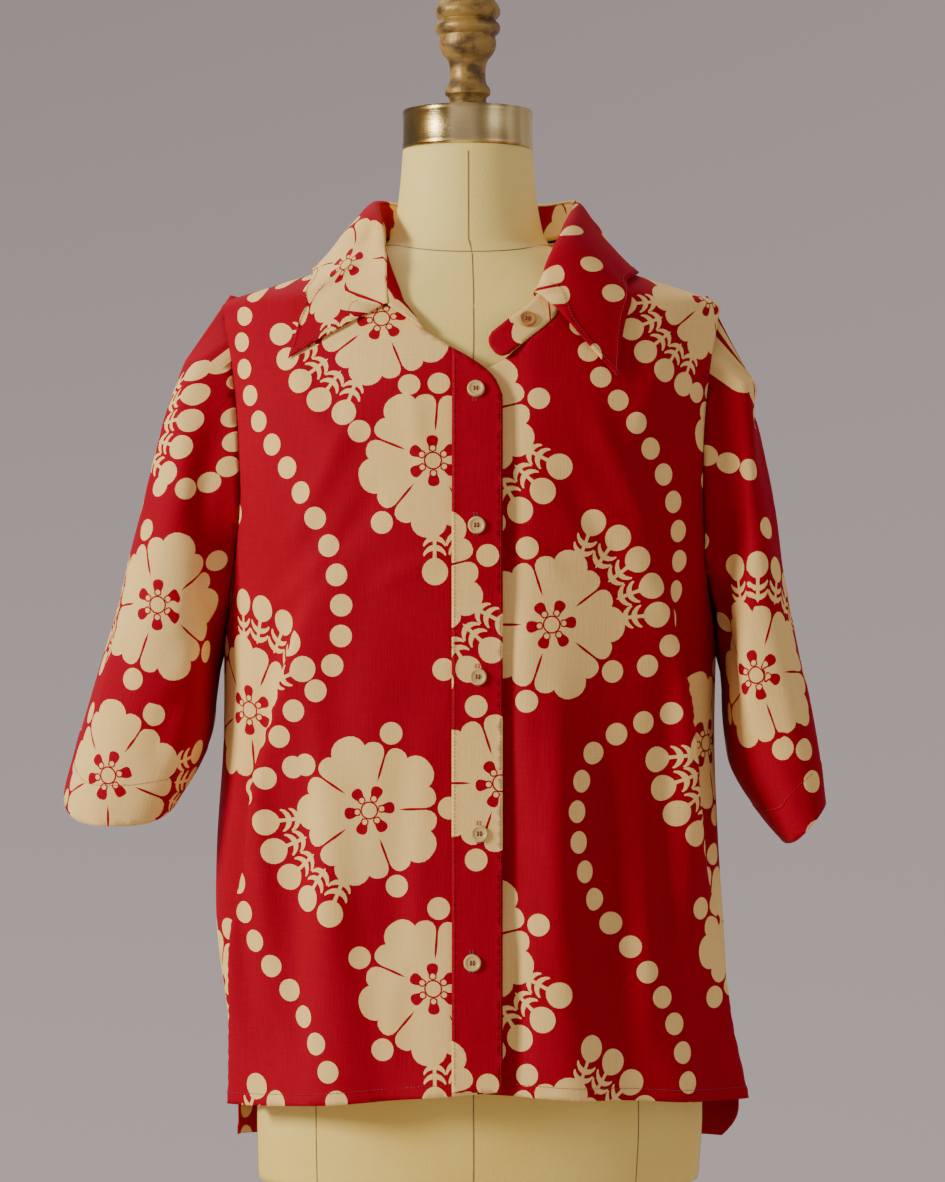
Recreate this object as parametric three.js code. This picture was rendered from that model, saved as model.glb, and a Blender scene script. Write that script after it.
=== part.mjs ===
// A short-sleeved print shirt worn by a limbless dress form on a weighted stand.
//
// Millimetres, +Z up. The origin is the middle of the stand's underside, on the floor.
// The shirt's front faces -Y, and +X is the wearer's left. Every piece of cloth is a thin
// wall. Its outer face is a surface worked out from the section tables below, and its inner
// face lies one cloth thickness inside it.

import * as THREE from 'three';
import { mergeVertices } from 'three/addons/utils/BufferGeometryUtils.js';

// ---------------------------------------------------------------- driving dimensions

const CLOTH = 1.6; // thickness of one layer, with its hems
const SEAM_GAP = 0.3; // between the edges of pieces that are sewn together
const LAYER_GAP = 0.35; // between layers that lie on each other
const LAYER = CLOTH + LAYER_GAP;

const SHOULDER_TIP_Z = 1366; // top of the armhole, on the dropped shoulder
const ARMPIT_Z = 1100;
const NECK_POINT_Z = 1412; // where the shoulder seam meets the neckband
const BACK_NECK_Z = 1415;
const VENT_TOP_Z = 838; // the side seams stop here
const FRONT_HEM_Z = { centre: 793, right: 767, left: 772 };
const BACK_HEM_Z = { centre: 727, right: 737, left: 732 };
// Degrees that each panel's lower corner draws back from the side seam, at the vents.
const VENT_SPREAD = { front: { right: -4, left: -4 }, back: { right: 16, left: 27 } };
const ARMHOLE_CUT = { front: 28, back: 27 }; // degrees that the armhole eats into a panel

const PLACKET = { seamX: -13.5, edgeX: 22.5, lift: 0.1, columns: [0, 0.33, 0.67, 1], rows: 22 };
// The left front's edge goes under the placket. It has sunk by the whole `sink` up to the angle
// `deepTo`, and has none of it left past `flushFrom`.
const UNDERLAP = { x: -15, sink: 3.4, deepTo: 8, flushFrom: 14 };
const BUTTON = { radius: 6.25, thick: 2.4, hole: 0.8, holeRing: 1.55 };
const BUTTON_HEIGHTS = [1294, 1197, 1089, 977, 885];
const BUTTON_X = [3.5, 4, 5, 6, 1];
const BAND_BUTTON_STATION = 11.6; // on the neckband's left end

// Level sections of the shirt's body, with no folds: half widths to the wearer's right and
// left, depths to the front and back of the side seams, and how square the section is.
const BODY_SECTIONS = [
  { z: 720, right: 176, left: 200, front: 133, back: 132, square: 2.35 },
  { z: 772, right: 177, left: 202, front: 132, back: 133, square: 2.35 },
  { z: 835, right: 182, left: 193, front: 130, back: 134, square: 2.35 },
  { z: 900, right: 190, left: 189, front: 128, back: 132, square: 2.35 },
  { z: 960, right: 190, left: 185, front: 127, back: 126, square: 2.35 },
  { z: 1040, right: 185, left: 182, front: 126, back: 118, square: 2.35 },
  { z: 1130, right: 185, left: 184, front: 128, back: 112, square: 2.3 },
  { z: 1210, right: 186, left: 186, front: 130, back: 110, square: 2.3 },
  { z: 1270, right: 187, left: 187, front: 125, back: 108, square: 2.25 },
  { z: 1320, right: 188, left: 188, front: 108, back: 105, square: 2.15 },
  { z: 1352, right: 188, left: 188, front: 92, back: 98, square: 2.05 },
  { z: 1366, right: 184, left: 184, front: 84, back: 91, square: 2 },
  { z: 1376, right: 154, left: 156, front: 78, back: 85, square: 2 },
  { z: 1388, right: 116, left: 118, front: 71, back: 78, square: 2 },
  { z: 1400, right: 84, left: 86, front: 65, back: 70, square: 2 },
  { z: 1412, right: 65, left: 67, front: 60, back: 63, square: 2 },
  { z: 1422, right: 60, left: 62, front: 58, back: 60, square: 2 },
];

// Folds of the body. A fold starts at zTop, is full below zFull, and runs from angleTop to
// angleLow at the hem. Angles are degrees from the centre front, positive to the wearer's
// left, and 180 is the centre back. It stands out by `out`, leans along the cloth by
// `lean`, and is `wide` degrees from its middle to its foot.
const FOLDS = [
  { name: 'right side lip', zTop: 1240, zFull: 1060, angleTop: -25, angleLow: -64, out: 10, lean: -19, wide: 5.2 },
  { name: 'right side tuck', zTop: 1210, zFull: 1040, angleTop: -41, angleLow: -79, out: -10, lean: 3, wide: 5.5 },
  { name: 'left side lip', zTop: 1270, zFull: 1080, angleTop: 32, angleLow: 67, out: 9, lean: 18, wide: 5.2 },
  { name: 'left side tuck', zTop: 1240, zFull: 1060, angleTop: 49, angleLow: 83, out: -9, lean: -3, wide: 5.5 },
  { name: 'right front swell', zTop: 1190, zFull: 900, angleTop: -20, angleLow: -36, out: 6, lean: 0, wide: 9 },
  { name: 'right front hollow', zTop: 1150, zFull: 880, angleTop: -12, angleLow: -20, out: -5, lean: 0, wide: 7 },
  { name: 'left front swell', zTop: 1200, zFull: 950, angleTop: 17, angleLow: 21, out: 7, lean: 0, wide: 7 },
  { name: 'left front hollow', zTop: 1180, zFull: 900, angleTop: 26, angleLow: 36, out: -6, lean: 0, wide: 8 },
  { name: 'left front swell 2', zTop: 1080, zFull: 850, angleTop: 38, angleLow: 48, out: 5, lean: 0, wide: 7 },
  { name: 'back left swell', zTop: 1260, zFull: 930, angleTop: 118, angleLow: 112, out: 9, lean: -4, wide: 9 },
  { name: 'back left hollow', zTop: 1200, zFull: 900, angleTop: 134, angleLow: 130, out: -6, lean: 0, wide: 8 },
  { name: 'back middle swell', zTop: 1180, zFull: 860, angleTop: 158, angleLow: 154, out: 8, lean: 0, wide: 10 },
  { name: 'back middle hollow', zTop: 1150, zFull: 860, angleTop: 182, angleLow: 178, out: -5, lean: 0, wide: 10 },
  { name: 'back right swell', zTop: 1230, zFull: 900, angleTop: -152, angleLow: -154, out: 9, lean: 3, wide: 9 },
  { name: 'back right hollow', zTop: 1190, zFull: 900, angleTop: -134, angleLow: -132, out: -6, lean: 0, wide: 8 },
  { name: 'back side swell', zTop: 1240, zFull: 920, angleTop: -119, angleLow: -113, out: 8, lean: 4, wide: 9 },
];

// The cut edge of each front above the buttons, from the front edge to the neckband's end.
const LAPEL_RIGHT = [
  { x: 22.5, z: 1290 },
  { x: 18.5, z: 1300 },
  { x: 12, z: 1308 },
  { x: 0, z: 1317 },
  { x: -14, z: 1325 },
];
const LAPEL_LEFT = [
  { x: -15, z: 1300 },
  { x: 4, z: 1306 },
];

// Sleeve rings from the armhole to the hem. `out` is the point over the top of the arm and
// `in` the point under it, `deep` the half depth, and `dip` how far the front sags below
// the middle while the back rises by as much. The rings are rounded oblongs, since the cloth
// hangs flat down the front and the back of the arm: a `square` of 2 would be an ellipse.
const SLEEVE_RIGHT = [
  { outX: 205, outZ: 1340, inX: 188, inZ: 1089, deep: 66, dip: 2, y: -4, square: 2 },
  { outX: 219, outZ: 1309, inX: 190, inZ: 1076, deep: 73, dip: 4, y: -3, square: 2.3 },
  { outX: 233, outZ: 1258, inX: 192, inZ: 1062, deep: 78, dip: 7, y: -2, square: 2.6 },
  { outX: 243, outZ: 1222, inX: 193, inZ: 1050, deep: 80, dip: 10, y: -1, square: 2.8 },
  { outX: 254, outZ: 1182, inX: 195, inZ: 1040, deep: 81, dip: 14, y: 0, square: 2.8 },
  { outX: 265, outZ: 1137, inX: 199, inZ: 1031, deep: 81, dip: 19, y: 1, square: 2.8 },
  { outX: 279, outZ: 1092, inX: 204, inZ: 1023, deep: 80, dip: 24, y: 2, square: 2.8 },
  { outX: 293, outZ: 1045, inX: 210, inZ: 1016, deep: 78, dip: 28, y: 3, square: 2.8 },
  { outX: 303, outZ: 1009, inX: 215, inZ: 1010, deep: 76, dip: 31, y: 4, square: 2.8 },
];
const SLEEVE_LEFT = [
  { outX: 203, outZ: 1350, inX: 187, inZ: 1087, deep: 66, dip: 2, y: -4, square: 2 },
  { outX: 209, outZ: 1312, inX: 189, inZ: 1068, deep: 74, dip: 3, y: -3, square: 2.3 },
  { outX: 213, outZ: 1268, inX: 190, inZ: 1050, deep: 80, dip: 4, y: -2, square: 2.6 },
  { outX: 220, outZ: 1233, inX: 192, inZ: 1034, deep: 84, dip: 5, y: 0, square: 2.8 },
  { outX: 228, outZ: 1190, inX: 195, inZ: 1018, deep: 87, dip: 6, y: 2, square: 2.8 },
  { outX: 237, outZ: 1142, inX: 202, inZ: 1004, deep: 89, dip: 7, y: 4, square: 2.8 },
  { outX: 246, outZ: 1096, inX: 211, inZ: 991, deep: 90, dip: 7, y: 5, square: 2.8 },
  { outX: 255, outZ: 1050, inX: 221, inZ: 978, deep: 90, dip: 7, y: 6, square: 2.8 },
  { outX: 262, outZ: 1004, inX: 231, inZ: 967, deep: 89, dip: 7, y: 7, square: 2.8 },
];

// Stations of the collar from the right front end, round the back, to the left front end.
// The seam lies on the body at seamAngle and seamZ. `top` is the upper edge of the stand,
// where the leaf starts, and `edge` is the leaf's outer edge, which lies on the body. `lie`
// is 1 where the leaf lies flat on the cloth below it.
const COLLAR = [
  { seamAngle: -10.1, seamZ: 1338, topX: -60, topY: -90, topZ: 1357, edgeAngle: -43, edgeZ: 1318, lie: 1 },
  { seamAngle: -14.2, seamZ: 1356, topX: -62, topY: -81, topZ: 1375, edgeAngle: -40.7, edgeZ: 1344, lie: 1 },
  { seamAngle: -20, seamZ: 1374, topX: -63, topY: -66, topZ: 1399, edgeAngle: -41, edgeZ: 1365, lie: 0.6 },
  { seamAngle: -45, seamZ: 1398, topX: -67, topY: -38, topZ: 1424, edgeAngle: -59, edgeZ: 1382, lie: 0 },
  { seamAngle: -90, seamZ: 1412, topX: -69, topY: 2, topZ: 1440, edgeAngle: -97, edgeZ: 1388, lie: 0 },
  { seamAngle: -135, seamZ: 1414, topX: -50, topY: 46, topZ: 1443, edgeAngle: -132, edgeZ: 1386, lie: 0 },
  { seamAngle: -180, seamZ: 1415, topX: 2, topY: 66, topZ: 1444, edgeAngle: -180, edgeZ: 1384, lie: 0 },
  { seamAngle: -225, seamZ: 1414, topX: 56, topY: 46, topZ: 1443, edgeAngle: -228, edgeZ: 1386, lie: 0 },
  { seamAngle: -270, seamZ: 1412, topX: 77, topY: 2, topZ: 1440, edgeAngle: -263, edgeZ: 1388, lie: 0 },
  { seamAngle: -314, seamZ: 1393, topX: 69, topY: -42, topZ: 1418, edgeAngle: -313, edgeZ: 1376, lie: 0 },
  { seamAngle: -336, seamZ: 1370, topX: 57, topY: -69, topZ: 1390, edgeAngle: -323.5, edgeZ: 1350, lie: 0.1 },
  { seamAngle: -341.4, seamZ: 1348, topX: 47, topY: -85, topZ: 1364, edgeAngle: -327, edgeZ: 1303, lie: 1 },
  { seamAngle: -348, seamZ: 1330, topX: 27, topY: -96, topZ: 1347, edgeAngle: 0, edgeZ: 0, lie: 0 },
  { seamAngle: -353.4, seamZ: 1315, topX: 9, topY: -102, topZ: 1332, edgeAngle: 0, edgeZ: 0, lie: 0 },
];
// Stations where the leaf and the stand end, and where the shoulder seams meet the collar.
const LEAF_END = 11;
const STAND_END = 13;
const SHOULDER_STATION = { right: 4, left: 8 };

const LEAF_LIFT = CLOTH + 1; // of the leaf's upper face, above the cloth that it lies on
const LEAF_ROLL = { up: 10.5, out: 15 }; // how the leaf turns over above the stand and falls away

// Level sections of the dress form below the shoulders.
const FORM_SECTIONS = [
  { z: 712, right: 159, left: 170, front: 92, back: 103, square: 2.1 },
  { z: 760, right: 160, left: 173, front: 97, back: 110, square: 2.1 },
  { z: 830, right: 160, left: 173, front: 102, back: 114, square: 2.1 },
  { z: 900, right: 155, left: 165, front: 102, back: 110, square: 2.1 },
  { z: 965, right: 142, left: 149, front: 98, back: 99, square: 2.1 },
  { z: 1065, right: 112, left: 112, front: 87, back: 80, square: 2.05 },
  { z: 1130, right: 120, left: 120, front: 95, back: 82, square: 2.1 },
  { z: 1190, right: 136, left: 136, front: 113, back: 92, square: 2.2 },
  { z: 1245, right: 149, left: 149, front: 121, back: 100, square: 2.2 },
  { z: 1300, right: 163, left: 163, front: 107, back: 101, square: 2.2 },
  { z: 1335, right: 173, left: 173, front: 92, back: 97, square: 2.1 },
];
// How far the form's shoulders lie inside the shirt's outer face.
const FORM_UNDER = { side: 1.9, below: 1.9 };
const FORM_SHOULDER = 174; // half width of the form at its shoulder ends
const NECK_X = -2.5; // the neck stands a little to one side
const FORM_SHOULDER_ROWS = [1356, 1366, 1376, 1388, 1398];
const FORM_NECK = [
  { z: 1408, right: 62, left: 62, front: 55, back: 58, square: 2 },
  { z: 1420, right: 56, left: 56, front: 54, back: 55, square: 2 },
  { z: 1450, right: 51, left: 51, front: 51, back: 51, square: 2 },
  { z: 1480, right: 48.5, left: 48.5, front: 48.5, back: 48.5, square: 2 },
];

// Turned profiles, radius and height.
const NECK_RING = [[0, 1480.4], [47.5, 1480.4], [49, 1482], [49, 1508.5], [47.5, 1510], [0, 1510]];
const FINIAL = [
  [0, 1510.4], [14, 1510.4], [14, 1520], [17, 1522], [17, 1527], [13.5, 1533], [13.5, 1543], [16, 1549],
  [20.5, 1555.5], [21.5, 1562], [20.8, 1566], [24.6, 1571.5], [23, 1576], [21, 1578], [24.6, 1583],
  [23.8, 1587.5], [19.8, 1593], [18.5, 1603], [14, 1614], [7.5, 1621], [0, 1623.5],
];
const POLE = { radius: 12.5, bottom: 27.3, top: 700.7 };
const PLATE = { radius: 34, bottom: 701, top: 711.7 };
const BASE = [[0, 0], [160, 0], [164, 4], [164, 14], [158, 20], [60, 24], [26, 27], [0, 27]];

const COLUMNS = { front: 20, back: 32, leaf: 30, standEnd: 5 };
const ROWS = { vent: 2, side: 6, armhole: 10, shoulder: 4, edge: 10, lapel: 4 };
const ROUND = 24; // sides of the turned pieces

// ---------------------------------------------------------------- curves and tables

const radians = (degrees) => (degrees * Math.PI) / 180;
const mix = (a, b, k) => a + (b - a) * k;
const clamp01 = (k) => Math.min(1, Math.max(0, k));
const ease = (k) => clamp01(k) ** 2 * (3 - 2 * clamp01(k));

// Reads one column of a table at a place between its rows, along a smooth curve.
function read(rows, key, column, at) {
  let i = 0;
  while (i < rows.length - 2 && at > rows[i + 1][key]) i += 1;
  const slope = (a, b) => (rows[b][column] - rows[a][column]) / (rows[b][key] - rows[a][key]);
  const here = slope(i, i + 1);
  const before = i > 0 ? slope(i - 1, i) : here;
  const after = i < rows.length - 2 ? slope(i + 1, i + 2) : here;
  const span = rows[i + 1][key] - rows[i][key];
  const k = clamp01((at - rows[i][key]) / span);
  const [m0, m1] = [((before + here) / 2) * span, ((here + after) / 2) * span];
  const [p0, p1] = [rows[i][column], rows[i + 1][column]];
  return (
    (2 * k ** 3 - 3 * k ** 2 + 1) * p0 +
    (k ** 3 - 2 * k ** 2 + k) * m0 +
    (3 * k ** 2 - 2 * k ** 3) * p1 +
    (k ** 3 - k ** 2) * m1
  );
}

const COLLAR_STATIONS = COLLAR.map((row, station) => ({ ...row, station }));

function sectionSizes(sections, z) {
  const at = (column) => read(sections, 'z', column, z);
  return { right: at('right'), left: at('left'), front: at('front'), back: at('back'), square: at('square') };
}

// A point of a level section, at an angle in degrees from the centre front.
function sectionPoint(sizes, angle, z) {
  const [s, c] = [Math.sin(radians(angle)), Math.cos(radians(angle))];
  const reach = (Math.abs(s) ** sizes.square + Math.abs(c) ** sizes.square) ** (-1 / sizes.square);
  const width = s < 0 ? sizes.right : sizes.left;
  const depth = c > 0 ? sizes.front : sizes.back;
  return new THREE.Vector3(width * reach * s, -depth * reach * c, z);
}

// The angle at which the front of the body has this x at this height.
function angleAt(x, z) {
  const sizes = sectionSizes(BODY_SECTIONS, z);
  const share = Math.min(1, Math.abs(x) / (x < 0 ? sizes.right : sizes.left));
  const depth = (1 - share ** sizes.square) ** (1 / sizes.square);
  return (Math.sign(x) * Math.atan2(share, depth) * 180) / Math.PI;
}

// ---------------------------------------------------------------- the body's surface

function foldAngle(fold, z) {
  const low = BODY_SECTIONS[0].z;
  return mix(fold.angleLow, fold.angleTop, clamp01((z - low) / (fold.zTop - low)));
}

function bodyPoint(angle, z) {
  const sizes = sectionSizes(BODY_SECTIONS, z);
  const point = sectionPoint(sizes, angle, z);
  const along = sectionPoint(sizes, angle + 0.5, z).sub(sectionPoint(sizes, angle - 0.5, z)).normalize();
  const outward = new THREE.Vector3(along.y, -along.x, 0);
  for (const fold of FOLDS) {
    const turn = ((((angle - foldAngle(fold, z) + 180) % 360) + 360) % 360) - 180;
    const strength = ease((fold.zTop - z) / (fold.zTop - fold.zFull)) * Math.exp(-((turn / fold.wide) ** 2));
    point.addScaledVector(outward, fold.out * strength).addScaledVector(along, fold.lean * strength);
  }
  return point;
}

function bodyNormal(angle, z) {
  const across = bodyPoint(angle + 0.4, z).sub(bodyPoint(angle - 0.4, z));
  const up = bodyPoint(angle, z + 0.8).sub(bodyPoint(angle, z - 0.8));
  return across.cross(up).normalize();
}

// A point that lies `lift` outside the body's surface.
const onBody = (angle, z, lift) => bodyPoint(angle, z).addScaledVector(bodyNormal(angle, z), lift);

// The armhole's edge, from the shoulder (0) round the front or back to the armpit (1).
function armholeEdge(side, half, k) {
  const turn = radians(180 * k);
  const cut = half === 'front' ? -ARMHOLE_CUT.front : ARMHOLE_CUT.back;
  const z = mix(ARMPIT_Z, SHOULDER_TIP_Z, (1 + Math.cos(turn)) / 2);
  return { angle: side * (90 + cut * Math.sin(turn)), z };
}

// ---------------------------------------------------------------- solids from grids

// A cell of a grid: a point on the outer face and the point behind it on the inner face.
const cell = (outer, inward, thick) => ({ outer, inner: outer.clone().addScaledVector(inward, thick) });

// Draws the listed edges of a grid back, so that sewn pieces stay a seam gap apart.
function drawBack(grid, edges) {
  const last = grid.length - 1;
  const end = grid[0].length - 1;
  const pull = (edge, next) => {
    for (const face of ['outer', 'inner']) {
      const step = next[face].clone().sub(edge[face]).normalize();
      edge[face].addScaledVector(step, SEAM_GAP * 0.75);
    }
  };
  if (edges.includes('first row')) grid[0].forEach((c, i) => pull(c, grid[1][i]));
  if (edges.includes('last row')) grid[last].forEach((c, i) => pull(c, grid[last - 1][i]));
  if (edges.includes('first column')) grid.forEach((row) => pull(row[0], row[1]));
  if (edges.includes('last column')) grid.forEach((row) => pull(row[end], row[end - 1]));
  return grid;
}

// Closes a grid of cells into one solid wall. A round grid joins its last column to its first.
function wallGeometry(grid, round = false) {
  const rows = grid.length;
  const columns = grid[0].length;
  const points = [];
  for (const face of ['outer', 'inner']) {
    for (const row of grid) for (const c of row) points.push(c[face].x, c[face].y, c[face].z);
  }
  const at = (face, j, i) => face * rows * columns + j * columns + (i % columns);
  const faces = [];
  const quad = (a, b, c, d) => faces.push(a, b, c, a, c, d);
  const spans = round ? columns : columns - 1;
  for (let i = 0; i < spans; i += 1) {
    for (let j = 0; j < rows - 1; j += 1) {
      quad(at(0, j, i), at(0, j, i + 1), at(0, j + 1, i + 1), at(0, j + 1, i));
      quad(at(1, j, i), at(1, j + 1, i), at(1, j + 1, i + 1), at(1, j, i + 1));
    }
    quad(at(1, 0, i), at(1, 0, i + 1), at(0, 0, i + 1), at(0, 0, i));
    quad(at(0, rows - 1, i), at(0, rows - 1, i + 1), at(1, rows - 1, i + 1), at(1, rows - 1, i));
  }
  for (let j = 0; j < rows - 1 && !round; j += 1) {
    const e = columns - 1;
    quad(at(0, j, 0), at(0, j + 1, 0), at(1, j + 1, 0), at(1, j, 0));
    quad(at(1, j, e), at(1, j + 1, e), at(0, j + 1, e), at(0, j, e));
  }
  return closedGeometry(points, faces);
}

// Closes rings of points into one solid, with a fan at each end.
function stackGeometry(rings) {
  const sides = rings[0].length;
  const points = rings.flat().flatMap((p) => [p.x, p.y, p.z]);
  const faces = [];
  for (let j = 0; j < rings.length - 1; j += 1) {
    for (let i = 0; i < sides; i += 1) {
      const [a, b] = [j * sides + i, j * sides + ((i + 1) % sides)];
      faces.push(a, b, b + sides, a, b + sides, a + sides);
    }
  }
  for (const [ring, first] of [[rings[0], 0], [rings.at(-1), (rings.length - 1) * sides]]) {
    const middle = ring.reduce((sum, p) => sum.add(p), new THREE.Vector3()).divideScalar(sides);
    const hub = points.length / 3;
    points.push(middle.x, middle.y, middle.z);
    for (let i = 0; i < sides; i += 1) {
      const [a, b] = [first + i, first + ((i + 1) % sides)];
      faces.push(hub, ...(first === 0 ? [b, a] : [a, b]));
    }
  }
  return closedGeometry(points, faces);
}

// Makes a geometry whose faces point outwards, whichever way round they were listed.
function closedGeometry(points, faces) {
  const corner = (i) => new THREE.Vector3(points[3 * i], points[3 * i + 1], points[3 * i + 2]);
  let volume = 0;
  for (let i = 0; i < faces.length; i += 3) {
    volume += corner(faces[i]).dot(corner(faces[i + 1]).cross(corner(faces[i + 2])));
  }
  if (volume < 0) faces.reverse();
  const geometry = new THREE.BufferGeometry();
  geometry.setAttribute('position', new THREE.Float32BufferAttribute(points, 3));
  geometry.setIndex(faces);
  geometry.computeVertexNormals();
  return geometry;
}

function turned(profile) {
  const geometry = new THREE.LatheGeometry(profile.map(([r, z]) => new THREE.Vector2(r, z)), ROUND);
  geometry.rotateX(Math.PI / 2);
  geometry.deleteAttribute('normal');
  geometry.deleteAttribute('uv');
  return mergeVertices(geometry, 0.001);
}

// ---------------------------------------------------------------- the shirt

// Rows up the side of a panel: the vent, the side seam, the armhole and the shoulder seam.
function sidePath(side, half) {
  const name = side < 0 ? 'right' : 'left';
  const hem = (half === 'front' ? FRONT_HEM_Z : BACK_HEM_Z)[name];
  const spread = VENT_SPREAD[half][name];
  const path = [];
  for (let j = 0; j < ROWS.vent; j += 1) {
    const k = j / ROWS.vent;
    path.push({ angle: side * (90 + spread * (1 - k) ** 1.5), z: mix(hem, VENT_TOP_Z, k) });
  }
  for (let j = 0; j < ROWS.side; j += 1) {
    path.push({ angle: side * 90, z: mix(VENT_TOP_Z, ARMPIT_Z, j / ROWS.side) });
  }
  for (let j = 0; j <= ROWS.armhole; j += 1) path.push(armholeEdge(side, half, 1 - j / ROWS.armhole));
  for (let j = 1; j <= ROWS.shoulder; j += 1) {
    path.push({ angle: side * 90, z: mix(SHOULDER_TIP_Z, NECK_POINT_Z, j / ROWS.shoulder) });
  }
  return path;
}

// Where the collar is sewn to the body, at a station between its two ends.
function seamAt(station) {
  const angle = read(COLLAR_STATIONS, 'station', 'seamAngle', station);
  return { angle: angle < -180 ? angle + 360 : angle, z: read(COLLAR_STATIONS, 'station', 'seamZ', station) };
}

// Rows up a front's edge, along its lapel, and along the collar's seam. The last row, which
// reaches the shoulder, starts from the station `last`.
function frontPath(edgeX, lapel, first, last) {
  const rows = ROWS.vent + ROWS.side + ROWS.armhole + ROWS.shoulder;
  const turn = lapel.map((row, k) => ({ ...row, k }));
  const path = [];
  for (let j = 0; j < ROWS.edge; j += 1) {
    const z = mix(FRONT_HEM_Z.centre, lapel[0].z, j / ROWS.edge);
    path.push({ angle: angleAt(edgeX, z), z });
  }
  for (let j = 0; j < ROWS.lapel; j += 1) {
    const k = ((lapel.length - 1) * j) / ROWS.lapel;
    const z = read(turn, 'k', 'z', k);
    path.push({ angle: angleAt(read(turn, 'k', 'x', k), z), z });
  }
  const left = rows + 1 - path.length;
  for (let j = 0; j < left; j += 1) path.push(seamAt(mix(first, last, j / (left - 1))));
  return path;
}

// Spreads columns from 0 to 1 between two angles, closer together where a lip stands.
function columnShares(from, to, z, count) {
  const samples = 120;
  const lips = FOLDS.filter((fold) => Math.abs(fold.lean) > 10 && z < fold.zTop);
  const sums = [0];
  for (let i = 1; i <= samples; i += 1) {
    const angle = mix(from.angle, to.angle, (i - 0.5) / samples);
    const crowd = lips.reduce((sum, lip) => {
      const near = Math.exp(-(((angle - foldAngle(lip, z)) / 11) ** 2));
      return sum + near * ease((lip.zTop - z) / 200);
    }, 0);
    sums.push(sums[i - 1] + 1 + 2 * crowd);
  }
  return Array.from({ length: count + 1 }, (_, i) => {
    const wanted = (sums[samples] * i) / count;
    const j = Math.max(1, sums.findIndex((sum) => sum >= wanted - 1e-9));
    return (j - 1 + (wanted - sums[j - 1]) / (sums[j] - sums[j - 1])) / samples;
  });
}

// A body panel between two paths of equal length. `lift` gives how far a point lies outside
// the body's surface.
function panelGrid(fromPath, toPath, columns, lift = () => 0) {
  return fromPath.map((from, j) => {
    const to = toPath[j];
    const shares = columnShares(from, to, (from.z + to.z) / 2, columns);
    return shares.map((k) => {
      const [angle, z] = [mix(from.angle, to.angle, k), mix(from.z, to.z, k)];
      const normal = bodyNormal(angle, z);
      return cell(bodyPoint(angle, z).addScaledVector(normal, lift(angle, z)), normal.negate(), CLOTH);
    });
  });
}

// A point of a sleeve ring. `turn` is 0 over the arm, 90 at the front and 180 under it.
function ringPoint(row, side, turn) {
  const squared = (share) => Math.sign(share) * Math.abs(share) ** (2 / row.square);
  const [c, s] = [squared(Math.cos(radians(turn))), squared(Math.sin(radians(turn)))];
  const out = new THREE.Vector3(side * row.outX, row.y, row.outZ);
  const under = new THREE.Vector3(side * row.inX, row.y, row.inZ);
  const middle = out.clone().add(under).divideScalar(2);
  return middle
    .addScaledVector(out.sub(under), c / 2)
    .add(new THREE.Vector3(0, -row.deep * s, -row.dip * s));
}

// The armhole's edge at one column of its sleeve: down the front, and up the back.
function armholeAt(i, side) {
  const k = i / ROWS.armhole;
  return k <= 1 ? armholeEdge(side, 'front', k) : armholeEdge(side, 'back', 2 - k);
}

// Outer points of a sleeve: the armhole's ring first, and then the rings of its table.
function sleeveRings(rows, side) {
  const columns = Array.from({ length: 2 * ROWS.armhole }, (_, i) => i);
  const armhole = columns.map((i) => {
    const { angle, z } = armholeAt(i, side);
    const under = ease((SHOULDER_TIP_Z - z) / (SHOULDER_TIP_Z - ARMPIT_Z));
    return onBody(angle, z, SEAM_GAP * 2 * under);
  });
  const rings = rows.map((row) => columns.map((i) => ringPoint(row, side, (180 * i) / ROWS.armhole)));
  return [armhole, ...rings];
}

// The step through the cloth at each point of a sleeve. On the armhole's ring it halves the
// corner between the sleeve and the body, and the body's panels take the same step there.
function sleeveInward(rings, side) {
  const count = rings[0].length;
  return rings.map((ring, j) => {
    const middle = ring.reduce((sum, p) => sum.add(p), new THREE.Vector3()).divideScalar(count);
    return ring.map((point, i) => {
      const along = ring[(i + 1) % count].clone().sub(ring[(i + count - 1) % count]);
      const down = rings[Math.min(j + 1, rings.length - 1)][i].clone().sub(rings[Math.max(j - 1, 0)][i]);
      const outward = along.cross(down).normalize();
      if (outward.dot(point.clone().sub(middle)) < 0) outward.negate();
      if (j > 0) return outward.multiplyScalar(-CLOTH);
      const edge = armholeAt(i, side);
      const shared = bodyNormal(edge.angle, edge.z).add(outward).normalize();
      return shared.clone().multiplyScalar(-CLOTH / Math.max(0.62, shared.dot(outward)));
    });
  });
}

const sleeves = {
  right: { side: -1, rings: sleeveRings(SLEEVE_RIGHT, -1) },
  left: { side: 1, rings: sleeveRings(SLEEVE_LEFT, 1) },
};
for (const sleeve of Object.values(sleeves)) sleeve.inward = sleeveInward(sleeve.rings, sleeve.side);

function sleeveSolid({ rings, inward }) {
  const grid = rings.map((ring, j) => ring.map((point, i) => cell(point, inward[j][i], 1)));
  return wallGeometry(drawBack(grid, ['first row']), true);
}

// Gives a panel's armhole edge the step through the cloth that its sleeve has there.
function meetSleeve(grid, column, sleeve, half) {
  const tip = ROWS.vent + ROWS.side + ROWS.armhole;
  for (let i = 0; i <= ROWS.armhole; i += 1) {
    const at = grid[tip - i][column];
    const turn = half === 'front' ? i : (2 * ROWS.armhole - i) % (2 * ROWS.armhole);
    at.inner.copy(at.outer).add(sleeve.inward[0][turn]);
  }
}

function frontRight() {
  const from = frontPath(PLACKET.edgeX, LAPEL_RIGHT, 0, SHOULDER_STATION.right - 1);
  const grid = panelGrid(from, sidePath(-1, 'front'), COLUMNS.front);
  meetSleeve(grid, COLUMNS.front, sleeves.right, 'front');
  return wallGeometry(drawBack(grid, ['last row', 'last column']));
}

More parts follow.
